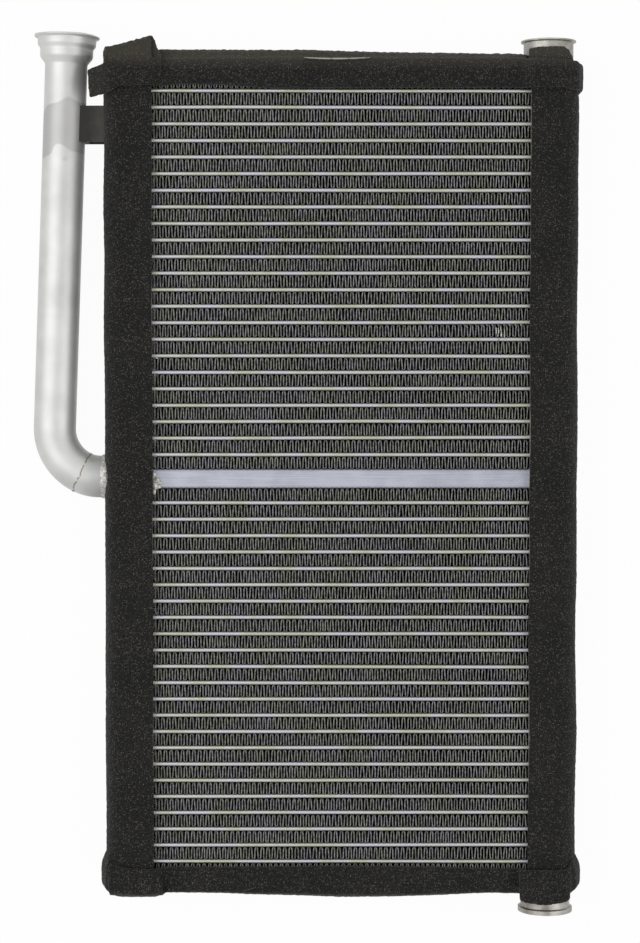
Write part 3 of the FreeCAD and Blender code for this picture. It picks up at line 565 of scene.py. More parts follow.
def remeshed(bm: BMesh, voxel: float, openings: BMesh | None = None) -> BMesh:
    """Unites closed shells into one skin of even faces.

    Args:
        bm: The shells, which are freed.
        voxel: The new faces' size.
        openings: Closed shells to cut away, which are freed too.

    Returns:
        A new bmesh.
    """
    carriers = []
    for shells in (bm, openings):
        if shells is None:
            continue
        mesh = bpy.data.meshes.new("shells")
        bmesh.ops.recalc_face_normals(shells, faces=shells.faces)
        shells.to_mesh(mesh)
        shells.free()
        carrier = bpy.data.objects.new("shells", mesh)
        bpy.context.scene.collection.objects.link(carrier)
        carriers.append(carrier)
    body = carriers[0]
    modifier = body.modifiers.new("Even skin", "REMESH")
    modifier.mode = "VOXEL"
    modifier.voxel_size = voxel
    for cutter in carriers[1:]:
        cut = body.modifiers.new("Openings", "BOOLEAN")
        cut.operation = "DIFFERENCE"
        cut.object = cutter
    graph = bpy.context.evaluated_depsgraph_get()
    skin = bpy.data.meshes.new_from_object(body.evaluated_get(graph))
    for carrier in carriers:
        mesh = carrier.data
        bpy.data.objects.remove(carrier)
        bpy.data.meshes.remove(mesh)
    even = bmesh.new()
    even.from_mesh(skin)
    bpy.data.meshes.remove(skin)
    return even


def drawn_on(bm: BMesh, ring: list[BMEdge]) -> tuple[list[BMEdge], list[BMVert]]:
    """Extrudes a ring in place.

    Args:
        bm: The bmesh.
        ring: The ring's edges.

    Returns:
        The new ring's edges and points.
    """
    made = bmesh.ops.extrude_edge_only(bm, edges=ring)["geom"]
    verts = [item for item in made if isinstance(item, BMVert)]
    reached = set(verts)
    edges = [item for item in made if isinstance(item, BMEdge) and set(item.verts) <= reached]
    return edges, verts


@dataclass
class Core:
    """The core's middle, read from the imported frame, and places off it."""

    middle: Vector

    @classmethod
    def read(cls) -> "Core":
        """Reads the core's middle from its headers, side channels and tubes."""
        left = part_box("left_header_plate")
        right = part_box("right_header_plate")
        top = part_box("top_channel")
        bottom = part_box("bottom_channel")
        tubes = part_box("upper_tubes")
        middle = Vector(
            ((left[0].x + right[1].x) / 2, (top[1].y + bottom[0].y) / 2, (tubes[0].z + tubes[1].z) / 2)
        )
        return cls(middle)

    def at(self, across: float, along: float, up: float = 0.0) -> Vector:
        """A point in the frame, from its place off the core's middle.

        Args:
            across: The offset along X.
            along: The offset along Y.
            up: The offset along Z.

        Returns:
            The point.
        """
        return self.middle + Vector((across, along, up))


@dataclass
class TubeBank:
    """One bank of flat tubes with round noses."""

    node: str
    count: int = 23
    height: float = 1.5 * MM
    nose_faces: int = 16
    stations: int = 20
    waver: float = 0.06 * MM

    def build(self, material: Material) -> None:
        """Builds the bank's tubes as one piece that stands for the CAD node."""
        low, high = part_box(self.node)
        pitch = (high.y - low.y - self.height) / (self.count - 1)
        bm = bmesh.new()
        for row in range(self.count):
            along = low.y + self.height / 2 + pitch * row
            self.add_tube(bm, Vector((low.x, along, (low.z + high.z) / 2)), high - low)
        piece = add_piece(self.node + "_round_nosed", bm, material)
        smooth(piece, 50)
        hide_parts(self.node)

    def add_tube(self, bm: BMesh, start: Vector, extent: Vector) -> None:
        """Adds one tube.

        Args:
            bm: The bank's bmesh.
            start: The middle of the tube's left end.
            extent: The bank's size, which gives the tube's length and depth.
        """
        radius = self.height / 2
        stand_up = Matrix.Rotation(math.pi / 2, 4, "Y")
        ring = bmesh.ops.create_circle(
            bm, segments=self.nose_faces, radius=radius, cap_ends=False, matrix=stand_up
        )["verts"]
        for vert in ring:
            vert.co.z += math.copysign(extent.z / 2 - radius, vert.co.z)
        bmesh.ops.translate(bm, verts=ring, vec=start)
        edges = list({edge for vert in ring for edge in vert.link_edges})
        step = extent.x / self.stations
        for station in range(self.stations):
            edges, verts = drawn_on(bm, edges)
            lift = noise.noise(start * 300 + Vector((station * 0.4, 0, 0))) * self.waver
            bmesh.ops.translate(bm, verts=verts, vec=(step, lift, 0))


@dataclass
class FinBank:
    """One bank of folded fin rows.

    The legs are drawn 0.36 mm thick, as wide as their louvres make them look.
    A shallow vee through the depth closes the straight view, as the real louvres do.
    The leans, turns and gaps below are shares of the legs' pitch.
    """

    node: str
    rows: int = 24
    legs: int = 134
    height: float = 4.69 * MM
    sheet: float = 0.36 * MM
    bite: float = 0.1 * MM
    least_bend: float = 0.08 * MM
    shoulder: float = 0.85 * MM
    vee: float = 1.5 * MM
    drift: float = 0.14
    drift_pace: float = 0.11
    jitter: float = 0.08
    lean: float = 0.05
    lean_play: float = 0.07
    root_turn: float = 0.24
    seed: int = 5

    def build(self, material: Material) -> None:
        """Builds the bank's rows as one piece that stands for the CAD node."""
        low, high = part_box(self.node)
        pitch = (high.y - low.y - self.height) / (self.rows - 1)
        chance = random.Random(self.seed)
        bm = bmesh.new()
        for row in range(self.rows):
            along = low.y + self.height / 2 + pitch * row
            self.add_row(bm, along, low, high, chance)
        bm.normal_update()
        bmesh.ops.solidify(bm, geom=list(bm.faces), thickness=self.sheet)
        piece = add_piece(self.node + "_folded", bm, material)
        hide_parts(self.node)

    def spacing(self, chance: random.Random) -> list[float]:
        """Places of the legs along a row, as shares of its length, loosely even."""
        phase = chance.uniform(0, 50)
        gaps = []
        for number in range(self.legs):
            drift = self.drift * noise.noise(Vector((number * self.drift_pace, phase, 0)))
            gaps.append(1 + drift + chance.uniform(-self.jitter, self.jitter))
        total = sum(gaps)
        places = []
        reached = 0.0
        for gap in gaps:
            places.append((reached + gap / 2) / total)
            reached += gap
        return places

    def add_row(self, bm: BMesh, along: float, low: Vector, high: Vector, chance: random.Random) -> None:
        """Adds one folded row.

        Args:
            bm: The bank's bmesh.
            along: The row's middle along Y.
            low: The bank's lowest corner.
            high: The bank's highest corner.
            chance: The source of the row's unevenness.
        """
        steps = self.legs * 4 - 1
        made = bmesh.ops.create_grid(bm, x_segments=steps, y_segments=2, size=1.0)["verts"]
        columns = steps + 1
        pitch = (high.x - low.x) / self.legs
        half = self.height / 2 - self.sheet / 2 + self.bite
        depth = (high.z - low.z) / 2
        middle = (high.z + low.z) / 2
        outline = []
        first = chance.choice((1, -1))
        for number, share in enumerate(self.spacing(chance)):
            across = low.x + share * (high.x - low.x)
            way = first if number % 2 == 0 else -first
            lean = pitch * (self.lean + chance.uniform(-self.lean_play, self.lean_play))
            turn = pitch * self.root_turn
            across += way * self.sheet / 2
            outline.append((across - turn, -half * way))
            outline.append((across - lean, (self.shoulder - half) * way))
            outline.append((across + lean, (half - self.shoulder) * way))
            outline.append((across + turn, half * way))
        for bend in range(3, len(outline) - 1, 4):
            left, right = outline[bend : bend + 2]
            centre = (left[0] + right[0]) / 2
            if right[0] - left[0] < self.least_bend:
                outline[bend] = (centre - self.least_bend / 2, left[1])
                outline[bend + 1] = (centre + self.least_bend / 2, right[1])
        for number, vert in enumerate(made):
            level, column = divmod(number, columns)
            across, rise = outline[column]
            shift = self.vee if level == 1 else 0.0
            place = along + rise - self.sheet / 2
            vert.co = Vector((across + shift, place, middle + depth * (level - 1)))


@dataclass
class InletPipe:
    """The inlet's bent pipe and swaged cup, swept as a round wall.

    The cup's profile gives its radius by the height above its foot, in millimetres.
    """

    core: Core
    header_across: float = 78.2 * MM
    tank_radius: float = 9.35 * MM
    radius: float = 7.95 * MM
    wall: float = 1.2 * MM
    tilt: float = math.radians(2.1)
    stub_turn: float = math.radians(26.0)
    stub_bend: float = 15.0 * MM
    pipe_bend: float = 18.5 * MM
    lead: float = 4.0 * MM
    height: float = 0.5 * MM
    rim: float = 166.51 * MM
    cup: tuple = (
        (0.25, 8.0), (0.8, 8.25), (2.4, 9.55), (3.0, 9.85), (3.6, 9.95), (5.6, 9.95), (6.3, 10.1),
        (7.2, 10.8), (7.8, 10.95), (9.3, 11.0), (9.9, 11.3), (10.15, 12.0), (10.5, 12.25), (11.0, 12.15),
    )
    around: int = 72
    bend_steps: int = 24
    run_steps: int = 30

    def ring(self, bm: BMesh, centre: Vector, heading: float) -> list[BMEdge]:
        """A ring across the pipe's line.

        Args:
            bm: The bmesh.
            centre: The ring's middle.
            heading: The line's direction, in radians from +X.

        Returns:
            The ring's edges.
        """
        turn = Matrix.Rotation(heading, 4, "Z") @ Matrix.Rotation(math.pi / 2, 4, "Y")
        verts = bmesh.ops.create_circle(
            bm,
            segments=self.around,
            radius=self.radius,
            cap_ends=False,
            matrix=Matrix.Translation(centre) @ turn,
        )["verts"]
        return list({edge for vert in verts for edge in vert.link_edges})

    def carry(
        self, bm: BMesh, ring: list[BMEdge], centre: Vector, step: Vector, scale: float
    ) -> tuple[list[BMEdge], Vector]:
        """Draws a ring on by one step.

        Args:
            bm: The bmesh.
            ring: The ring's edges.
            centre: The ring's middle.
            step: The move along the line.
            scale: The change of radius.

        Returns:
            The new ring's edges and its middle.
        """
        edges, verts = drawn_on(bm, ring)
        bmesh.ops.scale(bm, verts=verts, vec=(scale, scale, scale), space=Matrix.Translation(-centre))
        bmesh.ops.translate(bm, verts=verts, vec=step)
        return edges, centre + step

    def seam(self) -> Vector:
        """The middle of the joint between the stub and the pipe."""
        across = -(self.header_across + self.tank_radius + self.lead)
        return self.core.at(
            across - self.stub_bend * math.sin(self.stub_turn),
            self.height + self.stub_bend * (1 - math.cos(self.stub_turn)),
        )

    def bend(self, bm: BMesh, ring: list[BMEdge], centre: Vector, turn: float) -> list[BMEdge]:
        """Spins a ring round a bend's centre.

        Args:
            bm: The bmesh.
            ring: The ring's edges.
            centre: The bend's centre.
            turn: The angle, in radians about +Z.

        Returns:
            The last ring's edges.
        """
        result = bmesh.ops.spin(
            bm, geom=ring, cent=centre, axis=(0, 0, 1), angle=turn, steps=self.bend_steps, use_merge=False
        )
        return [item for item in result["geom_last"] if isinstance(item, BMEdge)]

    def build_pipe(self, material: Material) -> None:
        """Builds the bent pipe and its cup."""
        bm = bmesh.new()
        seam = self.seam()
        heading = math.pi - self.stub_turn
        ring = self.ring(bm, seam, heading)
        centre = seam + Vector((math.sin(self.stub_turn), math.cos(self.stub_turn), 0)) * self.pipe_bend
        turn = math.pi / 2 + self.tilt - self.stub_turn
        ring = self.bend(bm, ring, centre, -turn)
        line = Vector((math.sin(self.tilt), math.cos(self.tilt), 0))
        out = Vector((-math.cos(self.tilt), math.sin(self.tilt), 0))
        place = centre + out * self.pipe_bend
        rim_height = self.core.middle.y + self.rim
        run = (rim_height - place.y) / math.cos(self.tilt) - self.cup[-1][0] * MM
        for _ in range(self.run_steps):
            ring, place = self.carry(bm, ring, place, line * (run / self.run_steps), 1.0)
        reached = 0.0
        radius = self.radius
        for rise, wide in self.cup:
            step = line * ((rise * MM) - reached)
            ring, place = self.carry(bm, ring, place, step, wide * MM / radius)
            reached = rise * MM
            radius = wide * MM
        lip = {vert for edge in ring for vert in edge.verts}
        for vert in lip:
            sway = noise.noise((vert.co - place) * 120) * 0.35 * MM
            vert.co += line * sway
        bmesh.ops.recalc_face_normals(bm, faces=bm.faces)
        outward = sum(face.normal.z * (face.calc_center_median().z - seam.z) for face in bm.faces)
        bmesh.ops.solidify(bm, geom=list(bm.faces), thickness=self.wall if outward > 0 else -self.wall)
        piece = add_piece("inlet_pipe_drawn", bm, material)
        smooth(piece, 40)
        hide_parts("inlet_pipe")


def follow(line: tuple, place: float) -> float:
    """Reads a height off a line of straight runs.

    Args:
        line: The line's points in millimetres, in rising order of place.
        place: The place along the line, in metres.

    Returns:
        The height at that place, in metres.
    """
    if place <= line[0][0] * MM:
        return line[0][1] * MM
    for (start, low), (finish, high) in zip(line, line[1:]):
        if place <= finish * MM:
            share = (place / MM - start) / (finish - start)
            return (low + share * (high - low)) * MM
    return line[-1][1] * MM


def add_slab(bm: BMesh, core: Core, outline: tuple, low: float, high: float) -> None:
    """Adds a flat slab of foam.

    Args:
        bm: The bmesh.
        core: The core's places.
        outline: The slab's corners across and along the core, in millimetres.
        low: The slab's back face, off the core's middle.
        high: The slab's front face.
    """
    verts = [bm.verts.new(core.at(across * MM, along * MM, low)) for across, along in outline]
    face = bm.faces.new(verts)
    made = bmesh.ops.extrude_face_region(bm, geom=[face], use_keep_orig=True)["geom"]
    lifted = [item for item in made if isinstance(item, BMVert)]
    bmesh.ops.translate(bm, verts=lifted, vec=(0, 0, high - low))


@dataclass
class SideFoam:
    """Foam tape folded round one header, from the core's face to its back.

    The left strip is cut for the stub and the bracket and ends on the slant above. The
    right strip's front runs on before both collars.
    """

    core: Core
    side: Side
    edge: float = 70.6 * MM
    outer: float = 89.2 * MM
    half_depth: float = 12.05 * MM
    wall: float = 1.8 * MM
    corner: float = 7.0 * MM
    stack: float = 156.31 * MM
    left_top: float = 165.6 * MM
    stub_height: float = 0.5 * MM
    stub_hole: float = 9.3 * MM
    slit: tuple[float, float] = (126.3 * MM, 140.2 * MM)
    slit_half: float = 5.3 * MM
    cut_length: float = 16 * MM
    wander: float = 0.5 * MM
    wander_length: float = 38 * MM
    voxel: float = 0.7 * MM
    left_end: tuple = (
        (-88.4, 150.0), (-88.3, 160.6), (-77.3, 163.0), (-70.2, 165.5), (-68.1, 160.7), (-66.8, 157.5),
        (-66.8, 150.0),
    )
    right_end: tuple = (
        (69.9, 150.0), (69.9, 160.6), (76.0, 161.2), (82.6, 161.5), (84.6, 160.4), (86.4, 157.4),
        (88.0, 150.0),
    )

    def shells(self) -> BMesh:
        """The strip's sheet with its wall, and the loose end above."""
        bm = bmesh.new()
        way = self.side.value
        top = self.left_top if self.side is Side.LEFT else self.stack
        corners = ((self.edge, 1), (self.outer, 1), (self.outer, -1), (self.edge, -1))
        path = [self.core.at(across * way, -self.stack, self.half_depth * face) for across, face in corners]
        faces = sheet_along(bm, path, Vector((0, top + self.stack, 0)), self.corner)
        thicken(bm, faces, self.wall, self.core.at(self.edge * way, 0, 0))
        front = self.half_depth
        if self.side is Side.LEFT:
            low, high = self.left_end[1], self.left_end[3]
            slope = Vector((low[1] - high[1], high[0] - low[0], 0))
            bmesh.ops.bisect_plane(
                bm,
                geom=[*bm.verts, *bm.edges, *bm.faces],
                plane_co=self.core.at(low[0] * MM, low[1] * MM),
                plane_no=slope,
                clear_outer=True,
            )
            bmesh.ops.holes_fill(bm, edges=[edge for edge in bm.edges if edge.is_boundary])
            add_slab(bm, self.core, self.left_end, front - self.wall, front)
        else:
            add_slab(bm, self.core, self.right_end, front - self.wall, front)
        return bm

    def openings(self) -> BMesh | None:
        """The stub's hole and the bracket's slit in the left strip."""
        if self.side is Side.RIGHT:
            return None
        bm = bmesh.new()
        turn = Matrix.Rotation(math.pi / 2, 4, "Y")
        place = Matrix.Translation(self.core.at(-self.outer, self.stub_height))
        bmesh.ops.create_cone(
            bm,
            cap_ends=True,
            segments=48,
            radius1=self.stub_hole,
            radius2=self.stub_hole,
            depth=self.cut_length,
            matrix=place @ turn,
        )
        low, high = self.slit
        size = Matrix.Diagonal((self.cut_length, high - low, self.slit_half * 2, 1))
        place = Matrix.Translation(self.core.at(-self.outer, (low + high) / 2))
        bmesh.ops.create_cube(bm, size=1.0, matrix=place @ size)
        return bm

    def bow(self, vert: BMVert) -> None:
        """Lets the strip's edges wander a little along its length."""
        place = vert.co - self.core.middle
        wander = noise.noise(Vector((self.side.value * 7.0, place.y / self.wander_length, 0)))
        vert.co.x += wander * self.wander

    def build(self, material: Material) -> None:
        """Builds the strip as a soft piece that stands for the CAD node."""
        node = "foam_left" if self.side is Side.LEFT else "foam_right"
        bm = remeshed(self.shells(), self.voxel, self.openings())
        soften(bm, self.core.middle)
        for vert in bm.verts:
            self.bow(vert)
        piece = add_piece(node + "_tape", bm, material)
        smooth(piece, 60)
        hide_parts(node)


@dataclass
class EndFoam:
    """Foam tape folded over one end of the stack and wrapped round its corners.

    The tape's edges wander, as hand-laid tape does: the tables of two numbers give each
    edge's height by its place across, in millimetres. The top tape's left end hangs loose
    as a flap, and the bottom tape covers the front of the lower collar.
    """

    core: Core
    end: End
    inner: float = 12.15 * MM
    wall: float = 1.8 * MM
    channel_outer: float = 10.1 * MM
    step_out: float = 71.0 * MM
    step_in: float = 67.0 * MM
    wrap: float = 91.1 * MM
    corner: float = 7.5 * MM
    loose_end: float = 88.15 * MM
    low: float = 147.0 * MM
    crease: float = 157.3 * MM
    web_top: float = 159.6 * MM
    web_front: float = 8.9 * MM
    web_past: float = 1.5 * MM
    web_extra: float = 4.0 * MM
    fold: float = 3.4 * MM
    overlap: float = 3.0 * MM
    pull_start: float = 80 * MM
    pull_length: float = 11 * MM
    pull: float = 2.4 * MM
    top_pull: float = 0.25 * MM
    cover: tuple = ((150.0, 13.6), (156.4, 13.6))
    cover_front: float = 8.8
    cover_left: float = -87.6 * MM
    cover_right: float = -66.8 * MM
    cover_bend: float = 2.5 * MM
    cover_wall: float = 0.9 * MM
    cover_flat: tuple = (-80 * MM, -74 * MM)
    cover_inside: tuple = (-78 * MM, -152 * MM)
    cover_round: float = 30.0
    flap_start: float = -84 * MM
    flap_lift: float = 14.0
    sleeve_middle: float = 77 * MM
    sleeve_half: float = 10 * MM
    sleeve_rise: float = 0.75 * MM
    sleeve_bow: float = 1.1 * MM
    voxel: float = 0.62 * MM
    top_low: tuple = (
        (-82.0, 146.2), (-70.0, 146.3), (-62.0, 147.2), (-48.0, 147.3), (-36.0, 146.5), (-24.0, 145.9),
        (40.0, 145.9), (60.0, 146.2), (72.0, 145.6), (84.0, 145.4), (88.0, 144.6), (92.0, 144.3),
    )
    top_high: tuple = (
        (-88.0, 155.8), (-68.0, 156.9), (-40.0, 157.3), (60.0, 157.3), (84.0, 156.6), (88.0, 156.0),
        (92.3, 154.5),
    )
    top_web: tuple = ((-68.0, 161.0), (-12.0, 160.7), (12.0, 159.9), (40.0, 159.6), (69.0, 159.1))
    bottom_web: tuple = (
        (-68.0, 157.6), (-58.0, 157.7), (-45.0, 157.9), (-22.0, 158.6), (0.0, 159.3), (20.0, 159.2),
        (45.0, 158.2), (58.0, 157.8), (69.0, 158.0),
    )
    bottom_low: tuple = (
        (-92.0, 140.5), (-89.5, 142.0), (-87.0, 145.6), (-80.0, 146.4), (-70.0, 146.9), (-45.0, 147.1),
        (0.0, 146.7), (25.0, 146.9), (60.0, 147.6), (72.0, 147.6), (86.5, 147.2), (89.0, 144.0),
        (92.0, 141.8),
    )
    bottom_high: tuple = (
        (-92.0, 153.2), (-90.5, 154.8), (-88.5, 156.0), (-86.0, 156.8), (-74.5, 157.4), (-68.0, 156.8),
        (-45.0, 156.9), (-23.0, 157.4), (0.0, 158.0), (20.0, 157.9), (45.0, 157.2), (58.0, 156.8),
        (66.0, 157.0), (86.0, 156.8), (88.5, 155.8), (90.5, 154.4), (92.0, 152.6),
    )
    flap: tuple = (
        (-80.0, 147.6), (-86.9, 143.6), (-93.6, 141.6), (-94.2, 152.1), (-88.15, 154.7), (-87.9, 160.7),
        (-80.0, 162.2), (-75.0, 163.4), (-70.4, 165.3), (-70.2, 157.0), (-72.0, 150.0),
    )
    sleeve: tuple = (
        (67.2, 147.4), (67.3, 158.9), (69.0, 159.9), (73.0, 160.5), (77.0, 160.7), (81.5, 160.4),
        (85.3, 159.6), (86.6, 158.6), (86.8, 147.4),
    )

    def wrap_path(self, hand: int) -> list[Vector]:
        """The tape's course round one side of the core, from its front to its back."""
        rise = self.inner + self.wall
        soft = self.corner * 0.3
        front = (
            (self.step_in - self.overlap, self.channel_outer), (self.step_in, self.channel_outer),
            (self.step_out, rise), (self.wrap - self.corner, rise), (self.wrap - soft, rise - soft),
            (self.wrap, rise - self.corner),
        )
        back = tuple((across, -up) for across, up in reversed(front))
        return [self.core.at(across * hand, self.low * self.end.value, up) for across, up in front + back]

    def loose_path(self, face: int) -> list[Vector]:
        """The tape's course over the left side's front or back, up to its cut end."""
        start = self.low * self.end.value
        rise = (self.inner + self.wall) * face
        flat = self.channel_outer * face
        return [
            self.core.at(-self.step_in + self.overlap, start, flat),
            self.core.at(-self.step_in, start, flat),
            self.core.at(-self.step_out, start, rise),
            self.core.at(-self.loose_end, start, rise),
        ]

    def shells(self) -> BMesh:
        """The belt round the core, its front layer and the fold over the stack's end."""
        bm = bmesh.new()
        way = self.end.value
        sweep = Vector((0, (self.crease - self.low) * way, 0))
        middle = self.core.at(0, self.low * way, 0)
        right = sheet_along(bm, self.wrap_path(1), sweep, 0.0)
        thicken(bm, right, self.wall, self.core.at(self.step_out, 0, 0))
        top = self.end is End.TOP
        for path in [self.loose_path(1), self.loose_path(-1)] if top else [self.wrap_path(-1)]:
            faces = sheet_along(bm, path, sweep, 0.0)
            thicken(bm, faces, self.wall, self.core.at(-self.step_out, 0, 0))
        for flat in (self.channel_outer, -self.channel_outer):
            path = [self.core.at(side, self.low * way, flat) for side in (-self.step_in, self.step_in)]
            faces = sheet_along(bm, path, sweep, 0.0)
            thicken(bm, faces, self.wall, middle)
        corners = ((self.low, 1), (self.web_top, 1), (self.web_top, -1), (self.low, -1))
        left = -self.step_in - self.web_past
        path = [self.core.at(left, along * way, self.web_front * face) for along, face in corners]
        faces = sheet_along(bm, path, Vector((self.step_in * 2 + self.web_extra, 0, 0)), self.fold)
        thicken(bm, faces, self.wall, middle)
        return bm

    def cap_cover(self) -> BMesh:
        """The tape's tuck under the left header's lower cap."""
        bm = bmesh.new()
        base = (self.core.middle.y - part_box("left_bottom_cap")[0].y + self.cover_wall) / MM
        front = (*self.cover, (base, self.cover_front))
        back = tuple((along, -up) for along, up in reversed(front))
        path = [self.core.at(self.cover_left, -along * MM, up * MM) for along, up in front + back]
        sheet_along(bm, path, Vector((self.cover_right - self.cover_left, 0, 0)), self.cover_bend)
        bmesh.ops.subdivide_edges(bm, edges=bm.edges, cuts=5, use_grid_fill=True)
        thicken(bm, list(bm.faces), self.cover_wall, self.core.at(*self.cover_inside))
        for vert in bm.verts:
            place = vert.co - self.core.middle
            past = max(0.0, self.cover_flat[0] - place.x)
            inward = max(0.0, place.x - self.cover_flat[1])
            low = -base * MM + (past * past + inward * inward) * self.cover_round
            if place.y < low:
                vert.co.y += low - place.y
        return bm

    def lay(self, vert: BMVert) -> None:
        """Moves a belt point so that the tape's edges follow their wandering lines."""
        way = self.end.value
        place = vert.co - self.core.middle
        along = place.y * way
        top = self.end is End.TOP
        lows, highs = (self.top_low, self.top_high) if top else (self.bottom_low, self.bottom_high)
        low = follow(lows, place.x)
        high = follow(highs, place.x)
        share = (along - self.low) / (self.crease - self.low)
        if share <= 1.0:
            along = low + share * (high - low)
        else:
            peak = follow(self.top_web if top else self.bottom_web, place.x)
            beyond = (along - self.crease) / (self.web_top - self.crease)
            along = high + beyond * (peak - high)
        side = abs(place.x)
        if side > self.pull_start:
            open_edge = 1.0 - min(1.0, max(0.0, share) / (0.1 if top else 0.55))
            reach = -self.pull * open_edge * open_edge - (self.top_pull if top else 0.0)
            vert.co.x += reach * (side - self.pull_start) / self.pull_length * math.copysign(1.0, place.x)
        vert.co.y = self.core.middle.y + along * way

    def loose_pieces(self) -> BMesh:
        """The flap of the top tape, or the bottom tape's cover over the collar."""
        bm = bmesh.new()
        way = self.end.value
        outline = self.flap if self.end is End.TOP else self.sleeve
        placed = tuple((across, along * way) for across, along in outline)
        add_slab(bm, self.core, placed, self.inner, self.inner + self.wall)
        bmesh.ops.triangulate(bm, faces=[face for face in bm.faces if len(face.verts) > 4])
        bmesh.ops.subdivide_edges(bm, edges=bm.edges, cuts=7, use_grid_fill=True)
        for vert in bm.verts:
            place = vert.co - self.core.middle
            if self.end is End.TOP:
                past = max(0.0, self.flap_start - place.x)
                vert.co.z += past * past * self.flap_lift
            else:
                off = (place.x - self.sleeve_middle) / self.sleeve_half
                vert.co.z += self.sleeve_rise - self.sleeve_bow * off * off
        return bm

    def build(self, material: Material) -> None:
        """Builds the tape as a soft piece that stands for the CAD node."""
        node = "foam_top" if self.end is End.TOP else "foam_bottom"
        belt = remeshed(self.shells(), self.voxel)
        for vert in belt.verts:
            self.lay(vert)
        extras = [self.loose_pieces()]
        if self.end is End.BOTTOM:
            extras.append(self.cap_cover())
        for extra in extras:
            bmesh.ops.recalc_face_normals(extra, faces=extra.faces)
            carrier = bpy.data.meshes.new("extra")
            extra.to_mesh(carrier)
            extra.free()
            belt.from_mesh(carrier)
            bpy.data.meshes.remove(carrier)
        bm = remeshed(belt, self.voxel)
        soften(bm, self.core.middle)
        piece = add_piece(node + "_tape", bm, material)
        smooth(piece, 60)
        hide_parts(node)


@dataclass
class GapLightStrip:
    """A pale strip of painted light, where the white background shows through as the top tape's layers
    part.
    """

    core: Core
    across: float = -1.7 * MM
    half_length: float = 12.2 * MM
    along: float = 157.0 * MM
    sag: float = 0.4 * MM
    half_height: float = 0.2 * MM
    taper: float = 0.7
    front: float = 11.7 * MM
    depth: float = 2.2 * MM

    def build(self, material: Material) -> None:
        """Builds the strip, which sags and is thickest at its middle."""
        bm = bmesh.new()
        verts = bmesh.ops.create_grid(bm, x_segments=24, y_segments=2, size=1.0)["verts"]
        for vert in verts:
            off = vert.co.x * vert.co.x
            half = self.half_height * (1.0 - self.taper * off)
            along = self.along + self.sag * (off - 1.0) + vert.co.y * half
            vert.co = self.core.at(self.across + vert.co.x * self.half_length, along, self.front)
        bm.normal_update()
        bmesh.ops.solidify(bm, geom=list(bm.faces), thickness=self.depth)
        # The strip is painted light: the white background seen through the gap between the top tape's
        # layers.
        piece = add_piece("painted_gap_light_strip", bm, material)


def soften(bm: BMesh, origin: Vector) -> None:
    """Gives foam its slack surface: rounded cuts, long waves and a crumbly skin.

    Args:
        bm: The foam's bmesh.
        origin: The point that the waves are measured from.
    """
    bmesh.ops.smooth_vert(bm, verts=bm.verts, factor=0.5, use_axis_x=True, use_axis_y=True, use_axis_z=True)
    bm.normal_update()
    wave_length = 22 * MM
    wave_height = 0.2 * MM
    crumb_size = 1.3 * MM
    crumb_height = 0.16 * MM
    torn_above = 158 * MM
    shrink = 0.1 * MM
    for vert in bm.verts:
        place = vert.co - origin
        wave = noise.noise(place / wave_length) * wave_height
        torn = 2.2 if place.y > torn_above else 1.0
        skin = noise.noise(place / crumb_size) * crumb_height * torn
        vert.co += vert.normal * (wave + skin - shrink)


